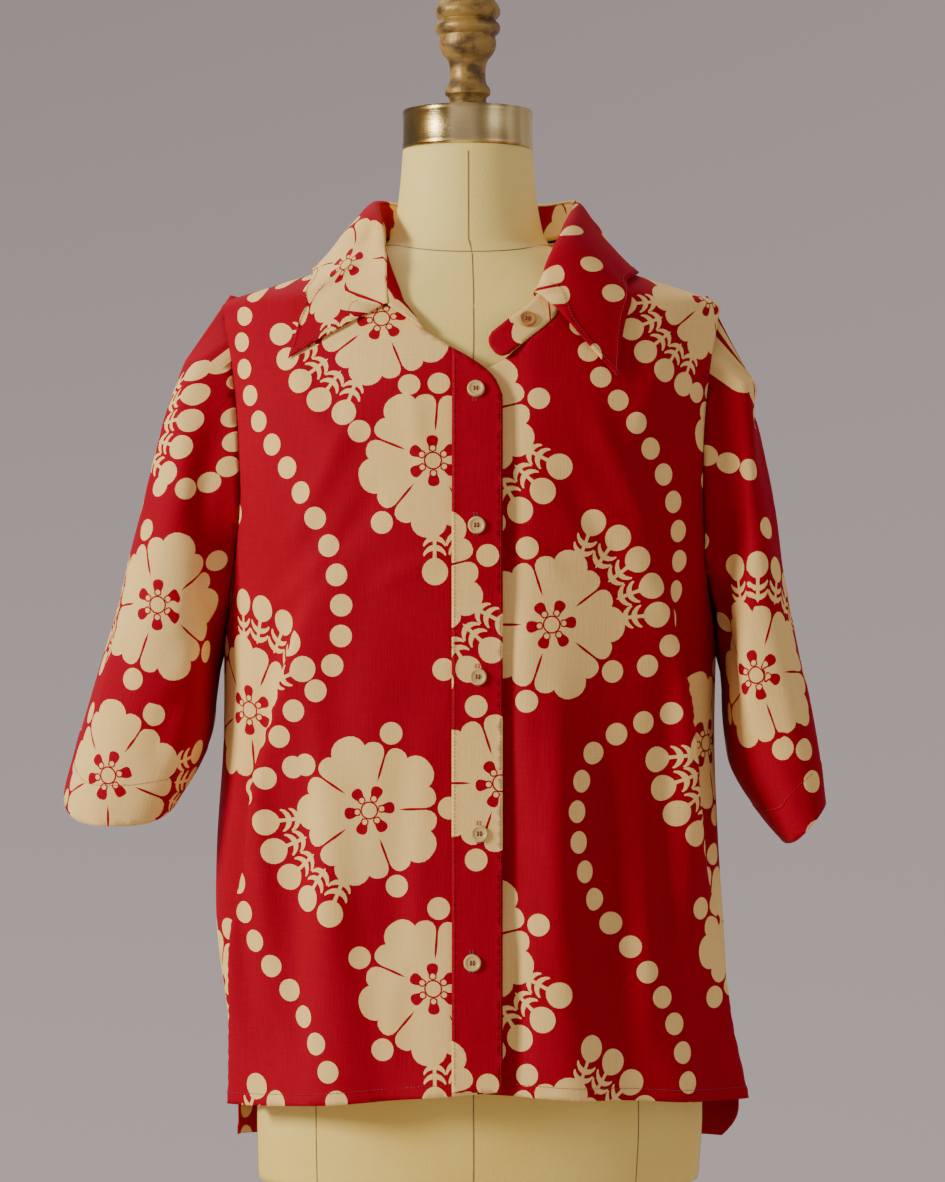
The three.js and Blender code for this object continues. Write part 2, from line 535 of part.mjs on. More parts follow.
// The left front goes under the right one, so it sinks by one layer towards its edge.
function frontLeft() {
  const { sink, deepTo, flushFrom } = UNDERLAP;
  const under = (angle) => -sink * (1 - ease((angle - deepTo) / (flushFrom - deepTo)));
  const from = frontPath(UNDERLAP.x, LAPEL_LEFT, STAND_END, SHOULDER_STATION.left + 1);
  const grid = panelGrid(from, sidePath(1, 'front'), COLUMNS.front, under);
  meetSleeve(grid, COLUMNS.front, sleeves.left, 'front');
  return wallGeometry(drawBack(grid, ['last row', 'last column']));
}

// The back runs in level rows from side to side, and on up between the shoulder seams.
function back() {
  const [from, to] = [sidePath(1, 'back'), sidePath(-1, 'back')];
  const top = from.length - 1;
  const grid = from.map((start, j) =>
    Array.from({ length: COLUMNS.back + 1 }, (_, i) => {
      const k = i / COLUMNS.back;
      const middle = Math.sin(Math.PI * k);
      const z = mix(start.z, to[j].z, k);
      const rise = (j === 0 ? BACK_HEM_Z.centre - z : 0) + (j === top ? BACK_NECK_Z - z : 0);
      const at = [mix(start.angle, to[j].angle + 360, k), z + rise * middle];
      return cell(bodyPoint(...at), bodyNormal(...at).negate(), CLOTH);
    }),
  );
  meetSleeve(grid, 0, sleeves.left, 'back');
  meetSleeve(grid, COLUMNS.back, sleeves.right, 'back');
  return wallGeometry(drawBack(grid, ['first column', 'last column']));
}

// The placket is a strip laid on the right front's edge, and its top follows the lapel.
function placketCell(k, height) {
  const lapel = [...LAPEL_RIGHT].reverse();
  const x = mix(PLACKET.seamX, PLACKET.edgeX, k);
  const z = mix(FRONT_HEM_Z.centre, read(lapel, 'x', 'z', x) - SEAM_GAP, height);
  const angle = angleAt(x, z);
  return cell(onBody(angle, z, LAYER + PLACKET.lift), bodyNormal(angle, z).negate(), CLOTH);
}

function placket() {
  const { columns, rows } = PLACKET;
  const grid = Array.from({ length: rows + 1 }, (_, j) => columns.map((k) => placketCell(k, j / rows)));
  return wallGeometry(grid);
}

// ---------------------------------------------------------------- the collar

// The line up the stand at one station: where it is sewn on, and its upper edge.
function standLine(station) {
  const at = (column) => read(COLLAR_STATIONS, 'station', column, station);
  const seam = onBody(at('seamAngle'), at('seamZ'), LAYER_GAP * 2);
  const top = new THREE.Vector3(at('topX'), at('topY'), at('topZ'));
  const up = top.clone().sub(seam).normalize();
  return { seam: seam.addScaledVector(up, SEAM_GAP * 2), top, up };
}

// The step through the stand, towards the neck.
function standInward(station) {
  const step = 0.05;
  const before = standLine(Math.max(0, station - step)).seam;
  const after = standLine(Math.min(STAND_END, station + step)).seam;
  return after.sub(before).cross(standLine(station).up).normalize();
}

const leafColumns = Array.from({ length: COLUMNS.leaf + 1 }, (_, i) => (LEAF_END * i) / COLUMNS.leaf);

function collarStand() {
  const stations = [...leafColumns];
  for (let i = 1; i <= COLUMNS.standEnd; i += 1) {
    stations.push(mix(LEAF_END, STAND_END, i / COLUMNS.standEnd));
  }
  const grid = [0, 0.5, 1].map((share) =>
    stations.map((station) => {
      const { seam, top } = standLine(station);
      return cell(seam.lerp(top, share), standInward(station), CLOTH);
    }),
  );
  return wallGeometry(grid);
}

// The leaf turns over from the stand's upper edge and falls on the shoulders and back. In
// front it lies on the cloth below it.
function leafPoint(station, fall) {
  const at = (column) => read(COLLAR_STATIONS.slice(0, LEAF_END + 1), 'station', column, station);
  const { top, up } = standLine(station);
  const inward = standInward(station);
  const start = top.clone().addScaledVector(inward, CLOTH).addScaledVector(up, SEAM_GAP * 2);
  const end = onBody(at('edgeAngle'), at('edgeZ'), LEAF_LIFT);
  const rise = start.clone().addScaledVector(up, LEAF_ROLL.up).addScaledVector(inward, -LEAF_ROLL.out / 2);
  const drop = top.clone().addScaledVector(up, -LEAF_ROLL.up).addScaledVector(inward, -LEAF_ROLL.out);
  const curve = new THREE.CubicBezierCurve3(start, rise, drop, end).getPoint(fall);
  const neckZ = BODY_SECTIONS.at(-1).z;
  const startAngle = angleAt(top.x, Math.min(top.z, neckZ)) + (station > SHOULDER_STATION.left ? -360 : 0);
  const [angle, z] = [mix(startAngle, at('edgeAngle'), fall), mix(top.z, at('edgeZ'), fall)];
  const lift = LEAF_LIFT + (station < SHOULDER_STATION.right ? 0 : 10 * (1 - fall) ** 2);
  return curve.lerp(onBody(angle, z, lift), at('lie') * ease((fall - 0.1) * 4));
}

function collarLeaf() {
  const falls = [0, 0.05, 0.13, 0.25, 0.42, 0.62, 0.82, 1];
  const points = falls.map((fall) => leafColumns.map((station) => leafPoint(station, fall)));
  const grid = points.map((row, j) =>
    row.map((point, i) => {
      const along = row[Math.min(i + 1, row.length - 1)].clone().sub(row[Math.max(i - 1, 0)]);
      const down = points[Math.min(j + 1, falls.length - 1)][i].clone().sub(points[Math.max(j - 1, 0)][i]);
      const inward = j === 0 ? standInward(leafColumns[i]).negate() : down.cross(along).normalize();
      return cell(point, inward, CLOTH);
    }),
  );
  return wallGeometry(grid);
}

// ---------------------------------------------------------------- buttons

function buttonGeometry() {
  const outline = new THREE.Shape().absarc(0, 0, BUTTON.radius, 0, 2 * Math.PI);
  for (let i = 0; i < 4; i += 1) {
    const turn = (Math.PI * (2 * i + 1)) / 4;
    const hole = new THREE.Path();
    const [x, y] = [BUTTON.holeRing * Math.cos(turn), BUTTON.holeRing * Math.sin(turn)];
    outline.holes.push(hole.absarc(x, y, BUTTON.hole, 0, 2 * Math.PI));
  }
  const corners = outline.extractPoints(8);
  const ring = (points, count) => points.filter((_, i) => i % Math.ceil(points.length / count) === 0);
  const shape = new THREE.Shape(ring(corners.shape, 16));
  shape.holes = corners.holes.map((hole) => new THREE.Path(ring(hole, 5)));
  const geometry = new THREE.ExtrudeGeometry(shape, { depth: BUTTON.thick, bevelEnabled: false });
  geometry.deleteAttribute('normal');
  geometry.deleteAttribute('uv');
  return mergeVertices(geometry, 0.001);
}

// Seats a button's back on a cloth face, with its own face turned along the normal.
function placeButton(mesh, point, normal) {
  mesh.position.copy(point).addScaledVector(normal, LAYER_GAP);
  mesh.quaternion.setFromUnitVectors(new THREE.Vector3(0, 0, 1), normal);
}

// ---------------------------------------------------------------- the dress form

const SIDES = 32;
const ringAt = (sizes, z, x = 0) =>
  Array.from({ length: SIDES }, (_, i) => sectionPoint(sizes, (360 * i) / SIDES, z).add(new THREE.Vector3(x, 0, 0)));

// The shoulders follow the inside of the shirt, which hangs on them.
function shoulderRing(z) {
  const sizes = sectionSizes(BODY_SECTIONS, z + FORM_UNDER.below);
  for (const key of ['right', 'left', 'front', 'back']) sizes[key] -= FORM_UNDER.side;
  sizes.right = Math.min(sizes.right, FORM_SHOULDER);
  sizes.left = Math.min(sizes.left, FORM_SHOULDER);
  return ringAt(sizes, z);
}

function formTorso() {
  const lower = FORM_SECTIONS.map((row) => ringAt(row, row.z));
  const shoulders = FORM_SHOULDER_ROWS.map(shoulderRing);
  const neck = FORM_NECK.map((row) => ringAt(row, row.z, NECK_X));
  return stackGeometry([...lower, ...shoulders, ...neck]);
}

// ---------------------------------------------------------------- materials and nodes

const finish = (color, roughness, metalness = 0) => new THREE.MeshStandardMaterial({ color, roughness, metalness });
const redCotton = finish(0xb4142c, 0.85);
const creamCotton = finish(0xdccaa2, 0.85);
const shell = finish(0xd9cda8, 0.35);
const amberShell = finish(0xa8742c, 0.35);
const paper = finish(0xe1d4aa, 0.8);
const brass = finish(0xc9a04a, 0.3, 1);
const gilt = finish(0x9a7a3a, 0.5);
const iron = finish(0x2c2a28, 0.5, 0.6);

const part = new THREE.Group();

function add(name, geometry, material) {
  const mesh = new THREE.Mesh(geometry, material);
  mesh.name = name;
  part.add(mesh);
  return mesh;
}

add('front_right', frontRight(), redCotton);
add('front_left', frontLeft(), redCotton);
add('placket', placket(), creamCotton);
add('back', back(), redCotton);
add('sleeve_right', sleeveSolid(sleeves.right), redCotton);
add('sleeve_left', sleeveSolid(sleeves.left), redCotton);
add('collar_stand', collarStand(), redCotton);
add('collar_leaf', collarLeaf(), redCotton);

BUTTON_HEIGHTS.forEach((z, i) => {
  const angle = angleAt(BUTTON_X[i], z);
  const mesh = add(`button_${i + 1}`, buttonGeometry(), shell);
  placeButton(mesh, onBody(angle, z, LAYER), bodyNormal(angle, z));
});
const bandButton = add('button_neckband', buttonGeometry(), amberShell);
const bandLine = standLine(BAND_BUTTON_STATION);
placeButton(bandButton, bandLine.seam.lerp(bandLine.top, 0.55), standInward(BAND_BUTTON_STATION).negate());

add('form_torso', formTorso(), paper);
for (const [name, profile, material] of [['form_neck_ring', NECK_RING, brass], ['form_finial', FINIAL, gilt]]) {
  add(name, turned(profile), material).position.x = NECK_X;
}
const rod = ({ radius, bottom, top }) => [[0, bottom], [radius, bottom], [radius, top], [0, top]];
add('form_plate', turned(rod(PLATE)), iron);
add('form_pole', turned(rod(POLE)), brass);
add('form_base', turned(BASE), iron);

export default part;
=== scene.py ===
# A short-sleeved print shirt, worn by a linen-covered dress form on a weighted stand.
#
# The sizes in the tables are millimetres, +Z up, and the shirt's front faces -Y. The wearer's
# right is -X. Meshes are made in metres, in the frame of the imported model.

import math
from collections import namedtuple

import bmesh
import bpy
import numpy as np
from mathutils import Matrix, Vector
from mathutils.geometry import delaunay_2d_cdt
from mathutils.kdtree import KDTree


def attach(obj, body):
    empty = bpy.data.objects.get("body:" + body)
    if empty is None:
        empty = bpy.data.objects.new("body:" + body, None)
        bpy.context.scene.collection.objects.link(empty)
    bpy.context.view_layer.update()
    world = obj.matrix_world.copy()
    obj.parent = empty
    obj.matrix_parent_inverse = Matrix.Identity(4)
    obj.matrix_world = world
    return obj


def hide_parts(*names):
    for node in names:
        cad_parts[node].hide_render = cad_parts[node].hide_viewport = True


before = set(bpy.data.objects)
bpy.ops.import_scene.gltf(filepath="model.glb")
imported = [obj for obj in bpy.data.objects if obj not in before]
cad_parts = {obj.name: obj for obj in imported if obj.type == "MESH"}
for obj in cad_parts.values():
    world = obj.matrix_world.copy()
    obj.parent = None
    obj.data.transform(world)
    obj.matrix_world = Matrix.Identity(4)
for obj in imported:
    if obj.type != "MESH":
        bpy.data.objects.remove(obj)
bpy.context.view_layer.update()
MM = 0.001

# ------------------------------------------------------------------ the camera and the room
# The shirt is seen from straight in front, at the height of its middle button, in a plain
# room: a pale floor, even warm-grey walls far off, a strong soft lamp on the left, a weak one on
# the right and one from above.

LENS = 105.6
SENSOR_WIDTH = 36
CAMERA_PLACE = (0.0011, -2.6, 1.15)
camera = bpy.data.objects.new("camera", bpy.data.cameras.new("camera"))
camera.data.lens = LENS
camera.data.sensor_width = SENSOR_WIDTH
camera.location = CAMERA_PLACE
camera.rotation_euler = (math.pi / 2, 0, 0)
bpy.context.collection.objects.link(camera)
bpy.context.scene.camera = camera


def paint(red, green, blue):
    """A colour as it looks on a screen, 0 to 255, turned into the light that it throws back."""
    light = []
    for shade in (red, green, blue):
        light.append(shade / 255 / 12.92 if shade < 10 else ((shade / 255 + 0.055) / 1.055) ** 2.4)
    return (*light, 1.0)


class Wire:
    """One output in a node tree. Arithmetic on it adds Math nodes."""

    def __init__(self, finish, socket):
        self.finish, self.socket = finish, socket

    def math(self, operation, first, second):
        return self.finish.node("Math", {"operation": operation}, {0: first, 1: second})

    def __add__(self, other):
        return self.math("ADD", self, other)

    def __sub__(self, other):
        return self.math("SUBTRACT", self, other)

    def __rsub__(self, other):
        return self.math("SUBTRACT", other, self)

    def __mul__(self, other):
        return self.math("MULTIPLY", self, other)

    def __pow__(self, other):
        return self.math("POWER", self, other)

    __radd__, __rmul__ = __add__, __mul__


class Finish:
    """A material, with its nodes."""

    def __init__(self, name, owner=None):
        self.owner = owner or bpy.data.materials.new(name)
        self.owner.use_nodes = True
        self.owner.node_tree.nodes.clear()

    def node(self, kind, settings, sockets, out=0):
        made = self.owner.node_tree.nodes.new("ShaderNode" + kind)
        for key, value in settings.items():
            if key == "stops":
                while len(made.color_ramp.elements) < len(value):
                    made.color_ramp.elements.new(1)
                for stop, (place, colour) in zip(made.color_ramp.elements, value):
                    stop.position, stop.color = place, colour
            else:
                setattr(made, key, value)
        for key, value in sockets.items():
            if isinstance(value, Wire):
                self.owner.node_tree.links.new(value.socket, made.inputs[key])
            else:
                made.inputs[key].default_value = value
        return Wire(self, made.outputs[out])

    def grain(self, place, scale, detail=3.0):
        """Noise from 0 to 1. A scale of three numbers draws it out along an axis."""
        if isinstance(scale, tuple):
            place, scale = self.node("Mapping", {}, {"Vector": place, "Scale": scale}), 1.0
        return self.node("TexNoise", {}, {"Vector": place, "Scale": scale, "Detail": detail})

    def mix(self, share, first, second):
        return self.node("Mix", {"data_type": "RGBA"}, {0: share, 6: first, 7: second}, out=2)

    def where(self):
        """A point's place on the object, in metres."""
        return self.node("TexCoord", {}, {}, out="Object")

    def bump(self, height, depth):
        return self.node("Bump", {}, {"Height": height, "Distance": depth, "Strength": 1.0})

    def surface(self, **sockets):
        sockets = {key.replace("_", " "): value for key, value in sockets.items()}
        shader = self.node("BsdfPrincipled", {}, sockets)
        made = self.owner.node_tree.nodes.new("ShaderNodeOutputMaterial")
        self.owner.node_tree.links.new(shader.socket, made.inputs["Surface"])
        return self.owner


WALL_TOP = paint(155, 143, 142)
WALL_LOW = paint(189, 174, 172)
WALL_RIGHT = paint(178, 164, 163)
room = bpy.data.worlds.new("room")
bpy.context.scene.world = room
sky = Finish("room", room)
toward = sky.node("TexCoord", {}, {}, out="Generated")
sideways, upwards = (sky.node("SeparateXYZ", {}, {0: toward}, out=axis) for axis in "XZ")
wall = sky.mix(upwards * 2.6 + 0.5, WALL_LOW, WALL_TOP)
wall = sky.mix(sideways * 1.2 + 0.2, wall, WALL_RIGHT)
backdrop = sky.node("Background", {}, {"Color": wall, "Strength": 1.0})
world_output = room.node_tree.nodes.new("ShaderNodeOutputWorld")
room.node_tree.links.new(backdrop.socket, world_output.inputs["Surface"])

LAMPS = [  # name, place, size, power and colour of each soft lamp
    ("key", (-3.2, -1.7, 2.2), 0.9, 158, (1.0, 0.96, 0.88)),
    ("fill", (2.6, -2.0, 1.3), 2.2, 12, (0.95, 0.97, 1.0)),
    ("top", (-0.4, 0.9, 3.0), 1.4, 26, (1.0, 0.97, 0.92)),
]
LAMPS_AIM_AT = (0, 0, 1.1)
for name, place, size, power, colour in LAMPS:
    lamp = bpy.data.objects.new(name, bpy.data.lights.new(name, "AREA"))
    lamp.data.size, lamp.data.energy, lamp.data.color = size, power, colour
    lamp.location = place
    lamp.rotation_euler = (Vector(LAMPS_AIM_AT) - Vector(place)).to_track_quat("-Z", "Y").to_euler()
    bpy.context.collection.objects.link(lamp)


def add_mesh(name, vertices, faces, materials, smooth=True):
    """A new object in metres from points in millimetres."""
    mesh = bpy.data.meshes.new(name)
    mesh.from_pydata((np.asarray(vertices, float) * MM).tolist(), [], faces)
    for material in materials:
        mesh.materials.append(material)
    mesh.polygons.foreach_set("use_smooth", [smooth] * len(mesh.polygons))
    made = bpy.data.objects.new(name, mesh)
    bpy.context.collection.objects.link(made)
    return made


def ring_faces(rows, sides, capped=False):
    """Faces between rings of points that all have the same count, and over the end rings."""
    faces = []
    for j in range(rows - 1):
        for i in range(sides):
            low, next_low = j * sides + i, j * sides + (i + 1) % sides
            faces.append((low, next_low, next_low + sides, low + sides))
    if capped:
        faces.append(tuple(range(sides))[::-1])
        faces.append(tuple(range((rows - 1) * sides, rows * sides)))
    return faces


def face_outward(made, sharp, weld=0.0):
    """Turns every face of a closed mesh outward, and keeps edges over an angle sharp."""
    trim = bmesh.new()
    trim.from_mesh(made.data)
    if weld:
        bmesh.ops.remove_doubles(trim, verts=trim.verts, dist=weld)
    bmesh.ops.recalc_face_normals(trim, faces=trim.faces)
    trim.to_mesh(made.data)
    trim.free()
    made.data.set_sharp_from_angle(angle=math.radians(sharp))


def turned(name, profile, sides, material, x=0.0, sharp=30):
    """A lathe piece from its outline of (radius, height), about an upright axis at x."""
    angles = np.linspace(0, 2 * math.pi, sides, endpoint=False)
    points = [(x + r * math.cos(a), r * math.sin(a), z) for r, z in profile for a in angles]
    made = add_mesh(name, points, ring_faces(len(profile), sides), [material])
    face_outward(made, sharp, weld=1e-5)
    return made


plaster = Finish("floor")
dust = plaster.grain(plaster.where(), 6.0)
floor_colour = plaster.mix(dust, paint(196, 190, 186), paint(204, 198, 194))
floor_material = plaster.surface(Base_Color=floor_colour, Roughness=0.8)
FLOOR_RADIUS = 1900
FLOOR_THICK = 12
floor_outline = [(0, 0), (FLOOR_RADIUS, 0), (FLOOR_RADIUS, -FLOOR_THICK), (0, -FLOOR_THICK)]
floor = turned("floor", floor_outline, 96, floor_material)

# ------------------------------------------------------------------ the stand
# A round cast-iron foot in black enamel carries a steel tube, which ends in a round plate
# under the form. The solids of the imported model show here, with finishes of their own.

enamel = Finish("black enamel")
orange_peel = enamel.grain(enamel.where(), 900.0)
enamel_material = enamel.surface(
    Base_Color=enamel.mix(enamel.grain(enamel.where(), 25.0), paint(26, 25, 24), paint(44, 42, 40)),
    Roughness=orange_peel * 0.15 + 0.34,
    Normal=enamel.bump(orange_peel, 0.0004),
)
tube = Finish("satin steel")
brushed = tube.grain(tube.where(), (1400.0, 1400.0, 12.0))
steel_material = tube.surface(
    Base_Color=tube.mix(brushed, paint(150, 150, 152), paint(186, 186, 188)),
    Metallic=1.0,
    Roughness=brushed * 0.15 + 0.3,
)
STAND = {"form_base": enamel_material, "form_plate": enamel_material, "form_pole": steel_material}
for node, material in STAND.items():
    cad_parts[node].data.materials.clear()
    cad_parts[node].data.materials.append(material)

# ------------------------------------------------------------------ the dress form
# The torso is papier-mache covered in ivory linen that was glued on in gores and sized. Its
# seams show as fine dark joins, and a brass ring and a turned gilt finial close the neck.

Section = namedtuple("Section", "z right left front back square")
BODY = [  # the shirt's level sections without folds: half widths, depths, and squareness
    Section(720, 176, 200, 133, 132, 2.35),
    Section(772, 177, 202, 132, 133, 2.35),
    Section(835, 182, 193, 130, 134, 2.35),
    Section(900, 190, 189, 128, 132, 2.35),
    Section(960, 190, 185, 127, 126, 2.35),
    Section(1040, 185, 182, 126, 118, 2.35),
    Section(1130, 185, 184, 128, 112, 2.3),
    Section(1210, 186, 186, 130, 110, 2.3),
    Section(1270, 187, 187, 125, 108, 2.25),
    Section(1320, 188, 188, 108, 105, 2.15),
    Section(1352, 188, 188, 92, 98, 2.05),
    Section(1366, 184, 184, 84, 91, 2),
    Section(1376, 154, 156, 78, 85, 2),
    Section(1388, 116, 118, 71, 78, 2),
    Section(1400, 84, 86, 65, 70, 2),
    Section(1412, 65, 67, 60, 63, 2),
    Section(1422, 60, 62, 58, 60, 2),
]
FORM = [  # the form's level sections below its shoulders
    Section(712, 159, 170, 92, 103, 2.1),
    Section(760, 160, 173, 97, 110, 2.1),
    Section(830, 160, 173, 102, 114, 2.1),
    Section(900, 155, 165, 102, 110, 2.1),
    Section(965, 142, 149, 98, 99, 2.1),
    Section(1065, 112, 112, 87, 80, 2.05),
    Section(1130, 120, 120, 95, 82, 2.1),
    Section(1190, 136, 136, 113, 92, 2.2),
    Section(1245, 149, 149, 121, 100, 2.2),
    Section(1300, 163, 163, 107, 101, 2.2),
    Section(1335, 173, 173, 92, 97, 2.1),
]
FORM_NECK = [
    Section(1408, 62, 62, 55, 58, 2),
    Section(1420, 56, 56, 54, 55, 2),
    Section(1450, 51, 51, 51, 51, 2),
    Section(1480, 48.5, 48.5, 48.5, 48.5, 2),
]
FORM_SHOULDERS = (1356, 1366, 1376, 1388, 1398)
FORM_INSIDE = 2.1  # how far the form's shoulders lie inside the shirt's outer face
FORM_SHOULDER_WIDTH = 173.5
NECK_X = -2.5


def ease(share):
    """A share from 0 to 1, slow at both ends."""
    share = np.clip(share, 0, 1)
    return share * share * (3 - 2 * share)


def bend(k, start, end, leave, arrive, span=1):
    """A smooth curve at a share k of its way, from its two ends and the slopes at them."""
    return (
        (2 * k**3 - 3 * k**2 + 1) * start
        + (k**3 - 2 * k**2 + k) * span * leave
        + (3 * k**2 - 2 * k**3) * end
        + (k**3 - k**2) * span * arrive
    )


def read(rows, key, column, at):
    """One column of a table at places between its rows, along a smooth curve."""
    xs = np.array([getattr(row, key) for row in rows], float)
    ys = np.array([getattr(row, column) for row in rows], float)
    slopes = np.diff(ys) / np.diff(xs)
    slopes = np.concatenate([slopes[:1], (slopes[:-1] + slopes[1:]) / 2, slopes[-1:]])
    at = np.clip(at, xs[0], xs[-1])
    i = np.clip(np.searchsorted(xs, at) - 1, 0, len(xs) - 2)
    span = xs[i + 1] - xs[i]
    return bend((at - xs[i]) / span, ys[i], ys[i + 1], slopes[i], slopes[i + 1], span)


def section_point(rows, angle, z, inside=0.0, widest=1e9):
    """Points of level sections, at angles in degrees from the centre front."""
    s, c = np.sin(np.radians(angle)), np.cos(np.radians(angle))
    square = read(rows, "z", "square", z)
    reach = (np.abs(s) ** square + np.abs(c) ** square) ** (-1 / square)
    sides = ("right", "left", "front", "back")
    right, left, front, back = (read(rows, "z", side, z) - inside for side in sides)
    width = np.minimum(np.where(s < 0, right, left), widest)
    return np.stack([width * reach * s, -np.where(c > 0, front, back) * reach * c, z + 0 * angle], -1)


FORM_SIDES = 128
round_form = np.linspace(-180, 180, FORM_SIDES, endpoint=False)
anchors = [section_point(FORM, round_form, row.z) for row in FORM]
for z in FORM_SHOULDERS:
    shoulder = section_point(BODY, round_form, z + FORM_INSIDE, FORM_INSIDE, FORM_SHOULDER_WIDTH)
    anchors.append(shoulder - (0, 0, FORM_INSIDE))
anchors += [section_point(FORM_NECK, round_form, row.z) + (NECK_X, 0, 0) for row in FORM_NECK]
anchors = np.array(anchors)
heights = anchors[:, 0, 2]
fine = np.unique(np.concatenate([np.arange(heights[0], heights[-1], 5.0), heights]))


def smooth_rows(anchors, heights, fine):
    """Rings between the anchor rings, along smooth upright curves that never overshoot."""
    step = np.diff(heights)[:, None, None]
    slopes = np.diff(anchors, axis=0) / step
    below, above = slopes[:-1], slopes[1:]
    middle = np.where(below * above > 0, 2 * below * above / (below + above + 1e-12), 0)
    slopes = np.concatenate([slopes[:1], middle, slopes[-1:]])
    i = np.clip(np.searchsorted(heights, fine) - 1, 0, len(heights) - 2)
    k = ((fine - heights[i]) / np.diff(heights)[i])[:, None, None]
    return bend(k, anchors[i], anchors[i + 1], slopes[i], slopes[i + 1], step[i])


linen = Finish("sized linen")
spot = linen.where()
upright_threads = linen.grain(spot, (1500.0, 1500.0, 260.0), 2.0)
level_threads = linen.grain(spot, (300.0, 300.0, 1700.0), 2.0)
threads = upright_threads * 0.5 + level_threads * 0.5
blotch = linen.grain(spot, 9.0, 4.0)
up_form = linen.node("SeparateXYZ", {}, {0: spot}, out="Z")
# The linen's colour runs darker and yellower towards the bottom of the form.
darker_low = linen.node("MapRange", {}, {"Value": up_form, 1: 0.78, 2: 1.35, 3: 1.0, 4: 0.25})
ivory = linen.mix(darker_low * blotch, paint(255, 236, 138), paint(242, 196, 66))
linen_material = linen.surface(
    Base_Color=linen.mix(threads * 0.35, ivory, paint(232, 196, 104)),
    Roughness=threads * 0.2 + 0.5,
    Normal=linen.bump(threads + blotch * 0.6, 0.0006),
    Sheen_Weight=0.05,
)
skin = smooth_rows(anchors, heights, fine)
skin_faces = ring_faces(len(fine), FORM_SIDES, capped=True)
torso = add_mesh("torso", skin.reshape(-1, 3), skin_faces, [linen_material])
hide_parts("form_torso")
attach(torso, "root")


def form_point(angle, z):
    """A point on the form's skin, in millimetres."""
    rows = smooth_rows(anchors, heights, np.atleast_1d(np.asarray(z, float)))
    place = (np.asarray(angle, float) + 180) / 360 * FORM_SIDES
    low = np.floor(place).astype(int) % FORM_SIDES
    share = (place - np.floor(place))[..., None]
    row = np.arange(len(rows))
    return rows[row, low] * (1 - share) + rows[row, (low + 1) % FORM_SIDES] * share


def cord_mesh(points, radius, sides=5):
    """Vertices and faces of a thin round cord along a line of points."""
    points = np.asarray(points, float)
    along = np.gradient(points, axis=0)
    along /= np.linalg.norm(along, axis=1)[:, None]
    side = np.cross(along, (0.31, 0.17, 0.93))
    side /= np.linalg.norm(side, axis=1)[:, None]
    up = np.cross(along, side)
    turns = np.linspace(0, 2 * math.pi, sides, endpoint=False)
    spokes = np.cos(turns)[:, None] * side[:, None] + np.sin(turns)[:, None] * up[:, None]
    rings = points[:, None] + radius * spokes
    return rings.reshape(-1, 3), ring_faces(len(points), sides, capped=True)


def join_parts(name, parts, materials):
    """One object from many small meshes of (vertices, faces)."""
    vertices, faces, start = [], [], 0
    for points, polygons in parts:
        vertices.append(points)
        faces += [tuple(i + start for i in polygon) for polygon in polygons]
        start += len(points)
    return add_mesh(name, np.concatenate(vertices), faces, materials)


SEAM_RADIUS = 0.45
FORM_FOOT_Z = 712
GORE_SEAMS = [  # angle from the centre front, and the height at which the seam ends
    (0.6, 1478), (180, 1478), (44, 1300), (-44, 1300), (90, 1340), (-90, 1340), (136, 1340), (-136, 1340),
]
neck_angles = list(range(-180, 181, 4))
forward = [math.cos(math.radians(angle)) for angle in neck_angles]
neck_heights = [1398.5 + 8 * (1 + ahead) - 16 * max(0, ahead) ** 2 for ahead in forward]
seams = [cord_mesh(form_point(neck_angles, neck_heights), SEAM_RADIUS)]
for angle, top in GORE_SEAMS:
    levels = np.arange(FORM_FOOT_Z, top, 6.0)
    seams.append(cord_mesh(form_point([angle] * len(levels), levels), SEAM_RADIUS))
glue = Finish("glued seam")
stain = glue.grain(glue.where(), 120.0)
seam_material = glue.surface(
    Base_Color=glue.mix(stain, paint(168, 140, 92), paint(112, 88, 56)), Roughness=0.8
)
seam_lines = join_parts("form_seams", seams, [seam_material])
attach(seam_lines, "root")

brass = Finish("old polished brass")
tarnish = brass.grain(brass.where(), (40.0, 40.0, 14.0), 4.0)
scratches = brass.grain(brass.where(), (90.0, 90.0, 2600.0), 2.0)
# Upright bands of dark and pale brass round the ring are painted reflections, mixed into the metal's
# colour, and the tarnish goes over them.
painted_reflection_bands = brass.grain(brass.where(), (46.0, 46.0, 3.0), 1.0)
BLACK, WHITE = (0, 0, 0, 1), (1, 1, 1, 1)
painted_reflection_streaks = brass.node("ValToRGB", {"stops": [(0.4, BLACK), (0.56, WHITE)]}, {"Fac": painted_reflection_bands})
polished_with_painted_reflections = brass.mix(painted_reflection_streaks, paint(120, 100, 58), paint(246, 228, 170))
brass_material = brass.surface(
    Base_Color=brass.mix(tarnish**2.0, polished_with_painted_reflections, paint(160, 130, 70)),
    Metallic=1.0,
    Roughness=tarnish * 0.25 + scratches * 0.1 + 0.12,
    Normal=brass.bump(scratches, 0.00012),
)
RING = [  # radius and height, up the ring's outside
    (0, 1480.4), (46.5, 1480.4), (48, 1480.8), (49, 1482), (49, 1484.5), (48.6, 1485.2),
    (48.6, 1505.3), (49, 1506), (49, 1508.5), (48.4, 1509.6), (47, 1510), (0, 1510),
]
ring = turned("neck_ring", RING, 96, brass_material, NECK_X)
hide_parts("form_neck_ring")
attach(ring, "root")

